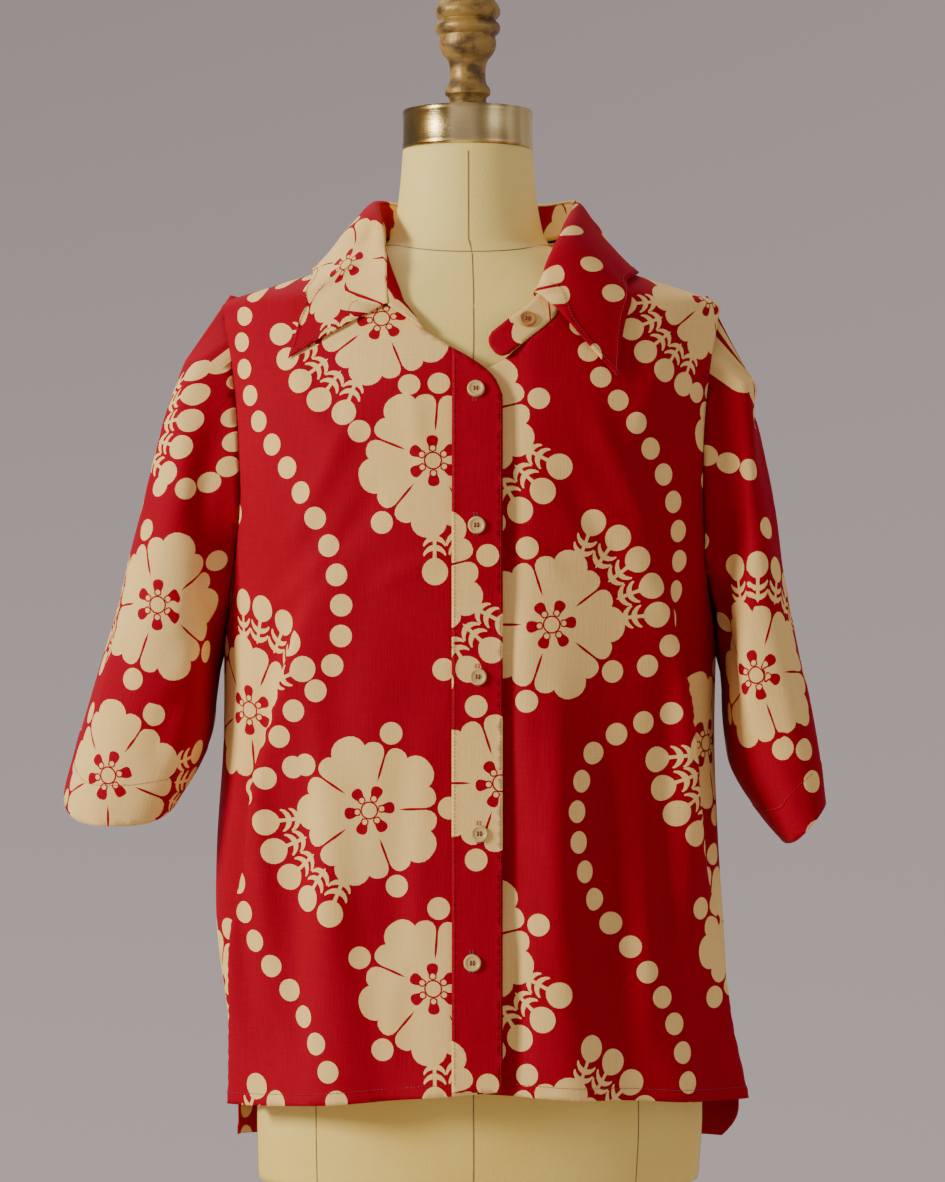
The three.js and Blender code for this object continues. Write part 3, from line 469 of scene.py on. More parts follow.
gilt = Finish("worn bronze gilding")
knocks = gilt.grain(gilt.where(), (60.0, 60.0, 110.0), 5.0)
wood_grain = gilt.grain(gilt.where(), (240.0, 240.0, 18.0), 4.0)
worn = gilt.node("ValToRGB", {"stops": [(0.42, BLACK), (0.62, WHITE)]}, {"Fac": knocks})
gilt_material = gilt.surface(
    Base_Color=gilt.mix(worn, paint(166, 132, 66), paint(88, 66, 34)),
    Metallic=0.35,
    Roughness=wood_grain * 0.3 + 0.32,
    Normal=gilt.bump(knocks + wood_grain * 0.5, 0.0008),
)
FINIAL = [  # radius and height, from the turned shank up to the dome
    (0, 1510.4), (14, 1510.4), (14, 1519), (15, 1520.5), (17, 1522), (17.2, 1524.5), (16.6, 1527),
    (14.4, 1529.5), (13.5, 1533), (13.3, 1538), (13.6, 1543), (14.6, 1546.5), (16, 1549),
    (18.6, 1552), (20.5, 1555.5), (21.4, 1559), (21.5, 1562), (20.8, 1564.6), (20.8, 1566),
    (23.2, 1568), (24.5, 1570.5), (24.5, 1573), (23.2, 1575.5), (21.2, 1577), (21, 1578),
    (23, 1580), (24.5, 1582.6), (24.4, 1586), (22.6, 1589.8), (20, 1593), (19, 1598),
    (18.3, 1603), (16.6, 1609), (14, 1614), (11, 1618), (7.5, 1621), (3.8, 1623), (0, 1623.5),
]
finial = turned("finial", FINIAL, 64, gilt_material, NECK_X, sharp=45)
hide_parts("form_finial")
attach(finial, "root")

# ------------------------------------------------------------------ the back
# One wide panel of crimson plain-weave cotton, printed with cream flowers, berry sprigs and
# trails of dots. It is sewn to the fronts at the shoulders and sides, above short vents.

Fold = namedtuple("Fold", "z_top z_full angle_top angle_low out lean wide")
FOLDS = [  # a fold starts at z_top, is full below z_full, and runs down from angle to angle
    Fold(1240, 1060, -25, -64, 10, -19, 5.2),
    Fold(1210, 1040, -41, -79, -10, 3, 5.5),
    Fold(1270, 1080, 32, 67, 9, 18, 5.2),
    Fold(1240, 1060, 49, 83, -9, -3, 5.5),
    Fold(1190, 900, -20, -36, 6, 0, 9),
    Fold(1150, 880, -12, -20, -5, 0, 7),
    Fold(1200, 950, 17, 21, 7, 0, 7),
    Fold(1180, 900, 26, 36, -6, 0, 8),
    Fold(1080, 850, 38, 48, 5, 0, 7),
    Fold(1260, 930, 118, 112, 9, -4, 9),
    Fold(1200, 900, 134, 130, -6, 0, 8),
    Fold(1180, 860, 158, 154, 8, 0, 10),
    Fold(1150, 860, 182, 178, -5, 0, 10),
    Fold(1230, 900, -152, -154, 9, 3, 9),
    Fold(1190, 900, -134, -132, -6, 0, 8),
    Fold(1240, 920, -119, -113, 8, 4, 9),
]
SHOULDER_TIP_Z = 1366
ARMPIT_Z = 1100
NECK_POINT_Z = 1412
BACK_NECK_Z = 1415
VENT_TOP_Z = 838
BACK_HEM = {"centre": 727, "right": 737, "left": 732}
FRONT_HEM = {"centre": 793, "right": 767, "left": 772}
VENT_SPREAD = {"front": {"right": -4, "left": -4}, "back": {"right": 16, "left": 27}}
ARMHOLE_CUT = {"front": 28, "back": 27}  # degrees that the armhole eats into a panel


def fold_angle(fold, z):
    share = np.clip((z - BODY[0].z) / (fold.z_top - BODY[0].z), 0, 1)
    return fold.angle_low + (fold.angle_top - fold.angle_low) * share


def body_point(angle, z):
    """The shirt's body, folds and all, at an angle from the centre front and a height."""
    angle, z = np.broadcast_arrays(np.asarray(angle, float), np.asarray(z, float))
    point = section_point(BODY, angle, z)
    along = section_point(BODY, angle + 0.5, z) - section_point(BODY, angle - 0.5, z)
    along /= np.linalg.norm(along, axis=-1, keepdims=True)
    outward = np.stack([along[..., 1], -along[..., 0], 0 * z], -1)
    for fold in FOLDS:
        turn = (angle - fold_angle(fold, z) + 180) % 360 - 180
        grown = ease((fold.z_top - z) / (fold.z_top - fold.z_full))
        strength = (grown * np.exp(-((turn / fold.wide) ** 2)))[..., None]
        point = point + outward * strength * fold.out + along * strength * fold.lean
    return point


def normal_of(surface, u, v, du, dv):
    """The outward normal of a surface, by small steps along it."""
    across = surface(u + du, v) - surface(u - du, v)
    upward = surface(u, v + dv) - surface(u, v - dv)
    normal = np.cross(across, upward)
    return normal / np.maximum(np.linalg.norm(normal, axis=-1, keepdims=True), 1e-9)


BODY_STEPS = (0.4, 0.8)  # degrees and millimetres, for slopes on the body


def on_body(angle, z, lift):
    """A point lifted off the shirt's body."""
    outward = normal_of(body_point, angle, z, *BODY_STEPS)
    return body_point(angle, z) + outward * np.asarray(lift)[..., None]


def armhole_edge(side, half, share):
    """The armhole's angle and height, from the shoulder's tip at 0 to the armpit at 1."""
    turn = np.radians(180 * np.asarray(share, float))
    cut = -ARMHOLE_CUT["front"] if half == "front" else ARMHOLE_CUT["back"]
    rise = (SHOULDER_TIP_Z - ARMPIT_Z) * (1 + np.cos(turn)) / 2
    return side * (90 + cut * np.sin(turn)), ARMPIT_Z + rise


def side_path(side, half, steps=40):
    """The side of a body panel from the hem up: vent, side seam, armhole, shoulder seam."""
    name = "right" if side < 0 else "left"
    hem = (FRONT_HEM if half == "front" else BACK_HEM)[name]
    k = np.linspace(0, 1, 12, endpoint=False)
    vent_angle = side * (90 + VENT_SPREAD[half][name] * (1 - k) ** 1.5)
    vent = np.stack([vent_angle, hem + (VENT_TOP_Z - hem) * k], -1)
    seam = np.stack([side * 90 + 0 * k, VENT_TOP_Z + (ARMPIT_Z - VENT_TOP_Z) * k], -1)
    armhole = np.stack(armhole_edge(side, half, 1 - np.linspace(0, 1, steps)), -1)
    k = k[1:]
    shoulder = np.stack([side * 90 + 0 * k, SHOULDER_TIP_Z + (NECK_POINT_Z - SHOULDER_TIP_Z) * k], -1)
    return np.concatenate([vent, seam, armhole, shoulder])


class Pattern:
    """A piece laid flat: p across and q up, in millimetres, for a surface of two numbers."""

    def __init__(self, surface, us, vs, u_zero, q_zero, steps=(1e-1, 1e-1)):
        self.surface = surface
        self.steps = steps
        self.us, self.vs = np.asarray(us, float), np.asarray(vs, float)
        points = surface(*np.meshgrid(self.us, self.vs))
        across = np.linalg.norm(np.diff(points, axis=1), axis=2)
        self.p = np.concatenate([np.zeros((len(vs), 1)), np.cumsum(across, axis=1)], axis=1)
        zero = int(np.argmin(np.abs(self.us - u_zero)))
        self.p -= self.p[:, zero : zero + 1]
        upward = np.linalg.norm(np.diff(points, axis=0), axis=2)
        line = np.minimum(np.median(upward, axis=1), upward[:, zero] * 1.15)
        self.q = np.concatenate([[0], np.cumsum(line)])
        self.q += q_zero[1] - np.interp(q_zero[0], self.vs, self.q)

    def flat(self, u, v):
        """Where a point of the surface lies on the flat piece."""
        row = np.clip(np.searchsorted(self.vs, v) - 1, 0, len(self.vs) - 2)
        share = np.clip((v - self.vs[row]) / (self.vs[row + 1] - self.vs[row]), 0, 1)
        p = np.empty(len(row))
        for j in np.unique(row):
            these = row == j
            low, high = (np.interp(u[these], self.us, self.p[k]) for k in (j, j + 1))
            p[these] = low + (high - low) * share[these]
        return np.stack([p, np.interp(v, self.vs, self.q)], -1)

    def worn(self, flat):
        """The surface's own two numbers at points of the flat piece."""
        v = np.interp(flat[:, 1], self.q, self.vs)
        row = np.clip(np.searchsorted(self.vs, v) - 1, 0, len(self.vs) - 2)
        share = np.clip((v - self.vs[row]) / (self.vs[row + 1] - self.vs[row]), 0, 1)
        u = np.empty(len(v))
        for j in np.unique(row):
            these = row == j
            low, high = (np.interp(flat[these, 0], self.p[k], self.us) for k in (j, j + 1))
            u[these] = low + (high - low) * share[these]
        return u, v

    def place(self, flat, lift=0.0):
        """Points of the worn piece, lifted off its surface, and the surface's normals there."""
        u, v = self.worn(np.asarray(flat, float))
        normal = normal_of(self.surface, u, v, *self.steps)
        return self.surface(u, v) + normal * np.broadcast_to(lift, len(u))[:, None], normal


def inside(points, polygon):
    """Which points lie inside a closed outline."""
    x, y = points[:, 0], points[:, 1]
    within = np.zeros(len(points), bool)
    for (ax, ay), (bx, by) in zip(polygon, np.roll(polygon, -1, axis=0)):
        if ay != by:
            within ^= ((ay > y) != (by > y)) & (x < (bx - ax) * (y - ay) / (by - ay) + ax)
    return within


def resample(line, spacing, closed=False):
    """Points at even steps along a line, with its own corners kept."""
    line = np.asarray(line, float)
    if closed:
        line = np.concatenate([line, line[:1]])
    made = []
    for start, end in zip(line[:-1], line[1:]):
        count = max(1, int(math.ceil(np.linalg.norm(end - start) / spacing)))
        made += [start + (end - start) * k / count for k in range(count)]
    return np.array(made if closed else made + [line[-1]])


def distance_to(points, line):
    """How far points lie from a line of points, through its segments."""
    nearest = np.full(len(points), 1e9)
    for start, end in zip(line[:-1], line[1:]):
        along = end - start
        share = np.clip(((points - start) @ along) / max(along @ along, 1e-9), 0, 1)
        nearest = np.minimum(nearest, np.linalg.norm(points - start - share[:, None] * along, axis=1))
    return nearest


# The printed motifs, drawn about their own middles. A flower has five petals of three lobes,
# parted by slits, and a red eye with six drops. A fan of five berries faces one slit.
def polar(radii, angles, middle=(0, 0)):
    """Points at distances and angles, in degrees, from a middle."""
    angles = np.radians(angles)
    return np.stack([middle[0] + radii * np.cos(angles), middle[1] + radii * np.sin(angles)], -1)


def disc(x, y, radius, sides=20):
    return polar(np.full(sides, radius), np.arange(sides) * 360 / sides, (x, y))


Rim = namedtuple("Rim", "turn reach")
PETAL = [  # half a petal's edge, from its middle to the slit beside it
    Rim(0, 55.2), Rim(4, 55), Rim(8, 54), Rim(12, 51.6), Rim(14.6, 48.8), Rim(16, 46.4),
    Rim(17.6, 47.6), Rim(20, 48.7), Rim(24, 49.2), Rim(28, 48.9), Rim(31.5, 47.4), Rim(34, 44.4),
    Rim(34.9, 41), Rim(34.7, 36), Rim(34.2, 31), Rim(34.2, 26),
]
DROP = [  # a drop of the eye: how far along, and half as wide
    (6.4, 0), (6.9, 2.4), (8.6, 2.9), (10.4, 2.9), (12.6, 3.8), (14.8, 4.3), (16.6, 3.9),
    (17.9, 2.6), (18.5, 0),
]
LEAF = [  # a stem's leaf, along and across
    (0.8, 0), (0.7, 2.4), (-0.8, 5.1), (-3.4, 7.3), (-6, 8.3), (-7.1, 7.6), (-5.2, 5.9),
    (-3.9, 3.9), (-3.2, 1.7), (-3.2, 0),
]
PETAL_TURN = 72  # degrees
SLIT_DEPTH = 21.0
EYE_RADIUS = 6.6
EYE_TOP_RADIUS = 5.4


def flower(x, y, fan):
    """A flower at x and y. One slit between its petals faces the way that its fan does."""
    outline = []
    turns = np.array([-rim.turn for rim in PETAL[:0:-1]] + [rim.turn for rim in PETAL])
    reaches = np.array([rim.reach for rim in PETAL[:0:-1] + PETAL])
    for petal in range(5):
        middle = fan + PETAL_TURN / 2 + PETAL_TURN * petal
        outline.append(polar(reaches, middle + turns, (x, y)))
        outline.append(polar(np.array([SLIT_DEPTH]), np.array([middle + PETAL_TURN / 2]), (x, y)))
    cream = [np.concatenate(outline)]
    red = [disc(x, y, EYE_RADIUS, 24)]
    top = [disc(x, y, EYE_TOP_RADIUS, 24)]
    edge = np.array(DROP + [(along, -wide) for along, wide in DROP[-2:0:-1]])
    for k in range(6):
        turn = math.radians(fan + 30 + 60 * k)
        spin = np.array([[math.cos(turn), math.sin(turn)], [-math.sin(turn), math.cos(turn)]])
        red.append(edge @ spin + (x, y))
        top.append(disc(x + 9.0 * math.cos(turn), y + 9.0 * math.sin(turn), 1.9, 12))
    return cream, red, top


STEM = [(8.6, -1.7), (12, -1.2), (25.4, -1.3), (28, 0), (25.4, 1.3), (12, 1.2), (8.6, 1.7)]
LEAF_ROOTS = (18.4, 25.2)  # where the two pairs of leaves leave the stem


def sprig(x, y, turn):
    """A berry, and the leafy stem that runs from it towards the flower, along turn."""
    axis = polar(np.ones(1), np.array([turn]))[0]
    side = polar(np.ones(1), np.array([turn + 90.0]))[0]

    def drawn(points):
        return np.array([np.array([x, y]) + axis * along + side * across for along, across in points])

    berry = []
    for a in np.arange(20) * math.tau / 20:
        berry.append((9.4 * math.cos(a) + 0.8 * max(0, math.cos(a)) ** 5, 9.3 * math.sin(a)))
    shapes = [drawn(berry), drawn(STEM)]
    for root in LEAF_ROOTS:
        for flip in (-1, 1):
            shapes.append(drawn([(root + along, flip * across) for along, across in LEAF]))
    return shapes


FAN_RADIUS = 79.5
FAN_STEP = 15.5  # degrees
DOT_RADIUS = 8.1
SLIT_DOT_REACH = 57.5


def spray(x, y, fan):
    """A flower with its fan of berries, and dots at its other four slits."""
    cream, red, top = flower(x, y, fan)
    for k in range(-2, 3):
        turn = fan + FAN_STEP * k
        berry = polar(np.array([FAN_RADIUS]), np.array([turn]), (x, y))[0]
        cream += sprig(*berry, turn + 180)
    for k in range(1, 5):
        turn = np.array([fan + float(PETAL_TURN) * k])
        dot = polar(np.array([SLIT_DOT_REACH]), turn, (x, y))[0]
        cream.append(disc(*dot, DOT_RADIUS))
    return cream, red, top


Knot = namedtuple("Knot", "k x y")
TRAIL_SPACING = 22.0


def trail(points):
    """Dots at even steps along a smooth curve through the points."""
    fine = np.linspace(0, len(points) - 1, 400)
    knots = [Knot(k, float(x), float(y)) for k, (x, y) in enumerate(points)]
    line = np.stack([read(knots, "k", "x", fine), read(knots, "k", "y", fine)], -1)
    run = np.concatenate([[0], np.cumsum(np.linalg.norm(np.diff(line, axis=0), axis=1))])
    stops = np.linspace(0, run[-1], int(round(run[-1] / TRAIL_SPACING)) + 1)
    xs, ys = (np.interp(stops, run, line[:, axis]) for axis in (0, 1))
    return [disc(x, y, DOT_RADIUS) for x, y in zip(xs, ys)]


REPEAT_WIDE = 240.0
REPEAT_HIGH = 377.0
BOLT_SPRAYS = [(-7, 144, -58), (58.4, -4.5, 36), (-52.7, -106.4, 218)]
BOLT_TRAIL = [
    (172, 313), (126, 300), (92, 280), (78, 233), (92, 180), (124, 137), (156, 84), (167, 30),
    (156, -10), (131, -35),
]
SPRAY_REACH = 92


def bolt(low, high, shift):
    """The print on a stretch of the bolt, as it falls on a piece that was cut there."""
    cream, red, top = [], [], []
    for i in range(-9, 10):
        for j in range(-9, 10):
            x, y = shift[0] + i * REPEAT_WIDE, shift[1] + j * REPEAT_HIGH
            for dx, dy, fan in BOLT_SPRAYS:
                beside = low[0] - SPRAY_REACH < x + dx < high[0] + SPRAY_REACH
                level = low[1] - SPRAY_REACH < y + dy < high[1] + SPRAY_REACH
                if beside and level:
                    for layer, shapes in zip((cream, red, top), spray(x + dx, y + dy, fan)):
                        layer += shapes
            if low[0] - 180 < x + 125 < high[0] + 60 and low[1] - 330 < y < high[1] + 50:
                cream += trail([(x + dx, y + dy) for dx, dy in BOLT_TRAIL])
    return cream, red, top


def strewn(sprays, dots=()):
    """The print of a piece whose flowers are placed one by one."""
    layers = ([], [], [])
    for x, y, fan in sprays:
        for layer, shapes in zip(layers, spray(x, y, fan)):
            layer += shapes
    layers[0].extend(disc(x, y, DOT_RADIUS) for x, y in dots)
    return layers


Crease = namedtuple("Crease", "p q p_end q_end out wide")


def crease_lift(creases, flat):
    """How far soft creases raise or sink points of a flat piece."""
    lift = np.zeros(len(flat))
    for crease in creases:
        start, end = np.array([crease.p, crease.q]), np.array([crease.p_end, crease.q_end])
        along = end - start
        share = ((flat - start) @ along) / (along @ along)
        wander = 0.12 * crease.wide * np.sin(share * 7 + crease.p)
        across = (flat - start) @ np.array([-along[1], along[0]]) / np.linalg.norm(along) + wander
        fade = ease(share * 3.2 + 0.1) * ease((1 - share) * 2.2 + 0.1)
        lift += crease.out * fade * np.exp(-((across / crease.wide) ** 2))
    return lift


CLOTH_THICK = 0.9
GRID = 4.4


def cloth_finish(name, low, high, sheen):
    """Plain-weave cotton: slubs down the warp, finer ones across, and a faint mottle."""
    finish = Finish(name)
    flat = finish.node("Attribute", {"attribute_name": "flat"}, {}, out="Vector")
    warp = finish.grain(flat, (1100.0, 45.0, 1.0), 2.0)
    weft = finish.grain(flat, (60.0, 900.0, 1.0), 2.0)
    mottle = finish.grain(flat, 14.0, 2.0)
    weave = warp * 0.6 + weft * 0.4
    shade = weave * 0.75 + mottle * 0.25
    steps = finish.node("MapRange", {}, {"Value": shade, 1: 0.3, 2: 0.7, 3: 0.0, 4: 1.0})
    return finish.surface(
        Base_Color=finish.mix(steps, low, high),
        Roughness=weave * 0.2 + 0.66,
        Normal=finish.bump(weave, 0.00035),
        Sheen_Weight=sheen,
        Sheen_Roughness=0.5,
        Specular_IOR_Level=0.06,
    )


SEAM_SINK = 0.3
HEM_RISE = 0.55
HEM_GROOVE = 0.35
crimson = cloth_finish("crimson cotton", paint(148, 0, 26), paint(168, 0, 36), 0.01)
cream_print = cloth_finish("cream print", paint(238, 194, 114), paint(248, 214, 140), 0.02)
crimson_back = cloth_finish("crimson reverse", paint(146, 8, 28), paint(166, 18, 38), 0.01)
cream_back = cloth_finish("cream reverse", paint(220, 172, 124), paint(232, 190, 144), 0.02)
CLOTH = [crimson, cream_print, crimson_back, cream_back]


def fill_outlines(lines, loose):
    """Triangles between closed outlines, with loose points among them."""
    edges, start = [], 0
    for line in lines:
        edges += [(start + i, start + (i + 1) % len(line)) for i in range(len(line))]
        start += len(line)
    points = np.concatenate(lines + [loose])
    made, _, faces, *_ = delaunay_2d_cdt([Vector(p) for p in points], edges, [], 0, 1e-4)
    return np.array([tuple(p) for p in made]), np.array([tuple(f) for f in faces])


def cut_piece(
    name, node, pattern, outline, motifs, creases=(), seams=(), hems=(), hem_wide=9.0,
    double=False,
):
    """A printed piece of cloth: its flat outline and motifs are triangulated together, so that
    the print has clean edges, and then worn. Seams sink a little, and hems stand out."""
    outline = resample(outline, GRID, closed=True)
    low, high = outline.min(axis=0), outline.max(axis=0)

    def near(shape):
        return (shape.max(axis=0) > low).all() and (shape.min(axis=0) < high).all()

    cream, red, top = ([shape for shape in layer if near(shape)] for layer in motifs)
    lines = [outline] + cream + red + top
    fixed = np.concatenate(lines)
    tree = KDTree(len(fixed))
    for i, (x, y) in enumerate(fixed):
        tree.insert((x, y, 0), i)
    tree.balance()
    xs, ys = np.meshgrid(np.arange(low[0], high[0], GRID), np.arange(low[1], high[1], GRID * 0.87))
    xs[1::2] += GRID / 2
    filling = np.stack([xs.ravel(), ys.ravel()], -1)
    filling = filling[inside(filling, outline)]
    filling = np.array([p for p in filling if tree.find((p[0], p[1], 0))[2] > GRID * 0.42])
    flat, faces = fill_outlines(lines, filling)
    middles = flat[faces].mean(axis=1)
    kept = inside(middles, outline)
    sides = flat[faces]
    area = np.cross(sides[:, 1] - sides[:, 0], sides[:, 2] - sides[:, 0]) / 2
    kept &= np.abs(area) > 1e-5
    faces, middles, area = faces[kept], middles[kept], area[kept]
    faces[area < 0] = faces[area < 0][:, ::-1]
    printed = np.zeros(len(faces), bool)
    for layer, value in ((cream, True), (red, False), (top, True)):
        for shape in layer:
            boxed = ((middles > shape.min(axis=0)) & (middles < shape.max(axis=0))).all(axis=1)
            near_by = boxed.nonzero()[0]
            printed[near_by[inside(middles[near_by], shape)]] = value
    used = np.unique(faces)
    renumber = np.full(len(flat), -1)
    renumber[used] = np.arange(len(used))
    flat, faces = flat[used], renumber[faces]
    raise_by = crease_lift(creases, flat)
    for seam in seams:
        raise_by -= SEAM_SINK * np.exp(-((distance_to(flat, seam) / 3.0) ** 2))
    for hem in hems:
        gap = distance_to(flat, hem)
        groove = HEM_GROOVE * np.exp(-(((gap - hem_wide) / 1.1) ** 2))
        raise_by += HEM_RISE * ease((hem_wide + 0.8 - gap) / 1.2) - groove
    vertices, normals = pattern.place(flat, raise_by)
    first = vertices[faces[:50]]
    facing = np.cross(first[:, 1] - first[:, 0], first[:, 2] - first[:, 0])
    if (facing * normals[faces[:50, 0]]).sum() < 0:
        faces = faces[:, ::-1]
    piece = add_mesh(name, vertices, faces.tolist(), CLOTH)
    piece.data.polygons.foreach_set("material_index", printed.astype(int))
    where = piece.data.attributes.new("flat", "FLOAT_VECTOR", "POINT")
    laid_out = np.concatenate([flat * MM, np.zeros((len(flat), 1))], axis=1)
    where.data.foreach_set("vector", laid_out.ravel())
    shell = piece.modifiers.new("thickness", "SOLIDIFY")
    shell.thickness = CLOTH_THICK * MM
    shell.offset = -1
    shell.material_offset = 0 if double else 2
    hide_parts(node)
    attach(piece, "root")


def in_flat(pattern, line):
    """A line on the worn piece, laid out flat."""
    return pattern.flat(line[:, 0], line[:, 1])


def along_line(start, end, shares):
    """Points at shares of the way from one point to another."""
    return np.stack([start[axis] + (end[axis] - start[axis]) * shares for axis in (0, 1)], -1)


BODY_LEVELS = np.arange(716, 1421, 4.0)
LEVEL_ZERO = (1150, 1150)  # the height whose flat q equals it
back_angles = np.arange(50, 311, 1.0)
body_back = Pattern(body_point, back_angles, BODY_LEVELS, 180, LEVEL_ZERO, BODY_STEPS)
left_side = side_path(1, "back")
right_side = side_path(-1, "back") + (360, 0)
across = np.linspace(0, 1, 60)
hem_line = along_line((left_side[0, 0], BACK_HEM["left"]), (right_side[0, 0], BACK_HEM["right"]), across)
hem_line[:, 1] += (BACK_HEM["centre"] - hem_line[:, 1]) * np.sin(math.pi * across)
neck_rise = (BACK_NECK_Z - NECK_POINT_Z) * np.sin(math.pi * across)
neck_line = np.stack([90 + 180 * across, NECK_POINT_Z + neck_rise], -1)
worn_outline = np.concatenate([hem_line, right_side[1:], neck_line[::-1], left_side[::-1][:-1]])
back_outline = in_flat(body_back, worn_outline)
BACK_CREASES = [
    Crease(-60, 1290, -150, 1120, 3.2, 11),
    Crease(70, 1280, 165, 1105, 3.4, 12),
    Crease(-95, 1180, -120, 900, 3.2, 14),
    Crease(25, 1230, 40, 960, 2.6, 14),
    Crease(110, 1160, 100, 860, -3.2, 13),
    Crease(-20, 1080, -35, 800, -2.8, 13),
    Crease(150, 1020, 160, 780, 3.0, 12),
    Crease(-160, 1010, -150, 790, -3.0, 12),
    Crease(-175, 1120, -90, 1060, 2.2, 8),
    Crease(170, 1115, 95, 1050, 2.2, 8),
    Crease(60, 1000, 66, 760, 2.6, 12),
    Crease(-70, 960, -76, 760, 2.6, 12),
    Crease(-120, 1330, -150, 1200, -2.4, 10),
    Crease(120, 1330, 150, 1200, -2.4, 10),
]
BACK_PRINT_SHIFT = (35, 1090)
above_vent = left_side[:, 1] >= VENT_TOP_Z
back_low, back_high = back_outline.min(axis=0), back_outline.max(axis=0)
cut_piece(
    "shirt_back",
    "back",
    body_back,
    back_outline,
    bolt(back_low, back_high, BACK_PRINT_SHIFT),
    BACK_CREASES,
    seams=[in_flat(body_back, left_side[above_vent]), in_flat(body_back, right_side[above_vent])],
    hems=[in_flat(body_back, hem_line)],
)

# ------------------------------------------------------------------ the fronts
# Two panels of the same cotton. The wearer's right front laps over the left and carries the
# placket. Both are turned back under the collar, which leaves an open notch at the neck.

Station = namedtuple("Station", "seam_angle seam_z top_x top_y top_z edge_angle edge_z lie k")
COLLAR = [
    Station(-10.1, 1338, -60, -90, 1357, -43, 1318, 1, 0),
    Station(-14.2, 1356, -62, -81, 1375, -40.7, 1344, 1, 1),
    Station(-20, 1374, -63, -66, 1399, -41, 1365, 0.6, 2),
    Station(-45, 1398, -67, -38, 1424, -59, 1382, 0, 3),
    Station(-90, 1412, -69, 2, 1440, -97, 1388, 0, 4),
    Station(-135, 1414, -50, 46, 1443, -132, 1386, 0, 5),
    Station(-180, 1415, 2, 66, 1444, -180, 1384, 0, 6),
    Station(-225, 1414, 56, 46, 1443, -228, 1386, 0, 7),
    Station(-270, 1412, 77, 2, 1440, -263, 1388, 0, 8),
    Station(-314, 1393, 69, -42, 1418, -313, 1376, 0, 9),
    Station(-336, 1370, 57, -69, 1390, -323.5, 1350, 0.1, 10),
    Station(-341.4, 1348, 47, -85, 1364, -327, 1303, 1, 11),
    Station(-348, 1330, 27, -96, 1347, 0, 0, 0, 12),
    Station(-353.4, 1315, 9, -102, 1332, 0, 0, 0, 13),
]
LEAF_END = 11
STAND_END = 13
PLACKET = {"seam": -13.5, "edge": 22.5}
UNDERLAP = {"x": -15, "sink": 3.4}
LAPEL_RIGHT = [(22.5, 1290), (18.5, 1300), (12, 1308), (0, 1317), (-14, 1325)]
LAPEL_LEFT = [(-15, 1300), (4, 1306)]


def angle_at(x, z):
    """The angle at which the front of the body has this x at this height."""
    x, z = np.broadcast_arrays(np.asarray(x, float), np.asarray(z, float))
    square = read(BODY, "z", "square", z)
    wide = np.where(x < 0, read(BODY, "z", "right", z), read(BODY, "z", "left", z))
    share = np.minimum(1, np.abs(x) / wide)
    return np.degrees(np.sign(x) * np.arctan2(share, (1 - share**square) ** (1 / square)))


def seam_at(station):
    """The collar's seam on the body, at a station round the neck."""
    angle = read(COLLAR, "k", "seam_angle", station)
    return np.stack([np.where(angle < -180, angle + 360, angle), read(COLLAR, "k", "seam_z", station)], -1)


Turn = namedtuple("Turn", "k x z")


def front_edge(x, lapel, first, last):
    """Up a front's edge, along its lapel, and along the collar's seam to the shoulder."""
    heights = np.linspace(FRONT_HEM["centre"], lapel[0][1], 60, endpoint=False)
    knots = [Turn(k, x, z) for k, (x, z) in enumerate(np.array(lapel, float))]
    ks = np.linspace(0, len(lapel) - 1, 14, endpoint=False)
    bend_x, bend_z = read(knots, "k", "x", ks), read(knots, "k", "z", ks)
    straight = np.stack([angle_at(x, heights), heights], -1)
    turned_back = np.stack([angle_at(bend_x, bend_z), bend_z], -1)
    return np.concatenate([straight, turned_back, seam_at(np.linspace(first, last, 30))])


def body_front(sink):
    """The body's surface, sunk behind the other front as far as they overlap."""

    def surface(u, v):
        behind = sink * (1 - ease((np.asarray(u, float) - 8) / 6))
        return body_point(u, v) + np.array([0, 1, 0]) * behind[..., None]

    return surface


right_angles, left_angles = np.arange(-91, 26, 1.0), np.arange(-25, 92, 1.0)
right_surface, left_surface = body_front(0), body_front(UNDERLAP["sink"])
right_pattern = Pattern(right_surface, right_angles, BODY_LEVELS, 0, LEVEL_ZERO, BODY_STEPS)
left_pattern = Pattern(left_surface, left_angles, BODY_LEVELS, 0, LEVEL_ZERO, BODY_STEPS)
RIGHT_CREASES = [
    Crease(-75, 1290, -150, 1160, 3.2, 10),
    Crease(-60, 1235, -130, 1130, -2.4, 9),
    Crease(-165, 1130, -95, 1180, 2.6, 8),
    Crease(-112, 1110, -104, 830, 3.4, 12),
    Crease(-84, 1060, -76, 810, -2.6, 12),
    Crease(-34, 1070, -40, 850, 2.4, 11),
    Crease(-168, 1120, -150, 830, 4.2, 10),
    Crease(-186, 1080, -172, 800, -3.6, 9),
    Crease(-45, 1300, -30, 1220, 2.0, 8),
    Crease(-134, 960, -128, 780, -2.8, 10),
    Crease(-52, 900, -58, 785, 2.4, 10),
    Crease(-15, 1180, -75, 1150, 1.6, 7),
    Crease(-140, 1330, -95, 1240, 2.2, 10),
]
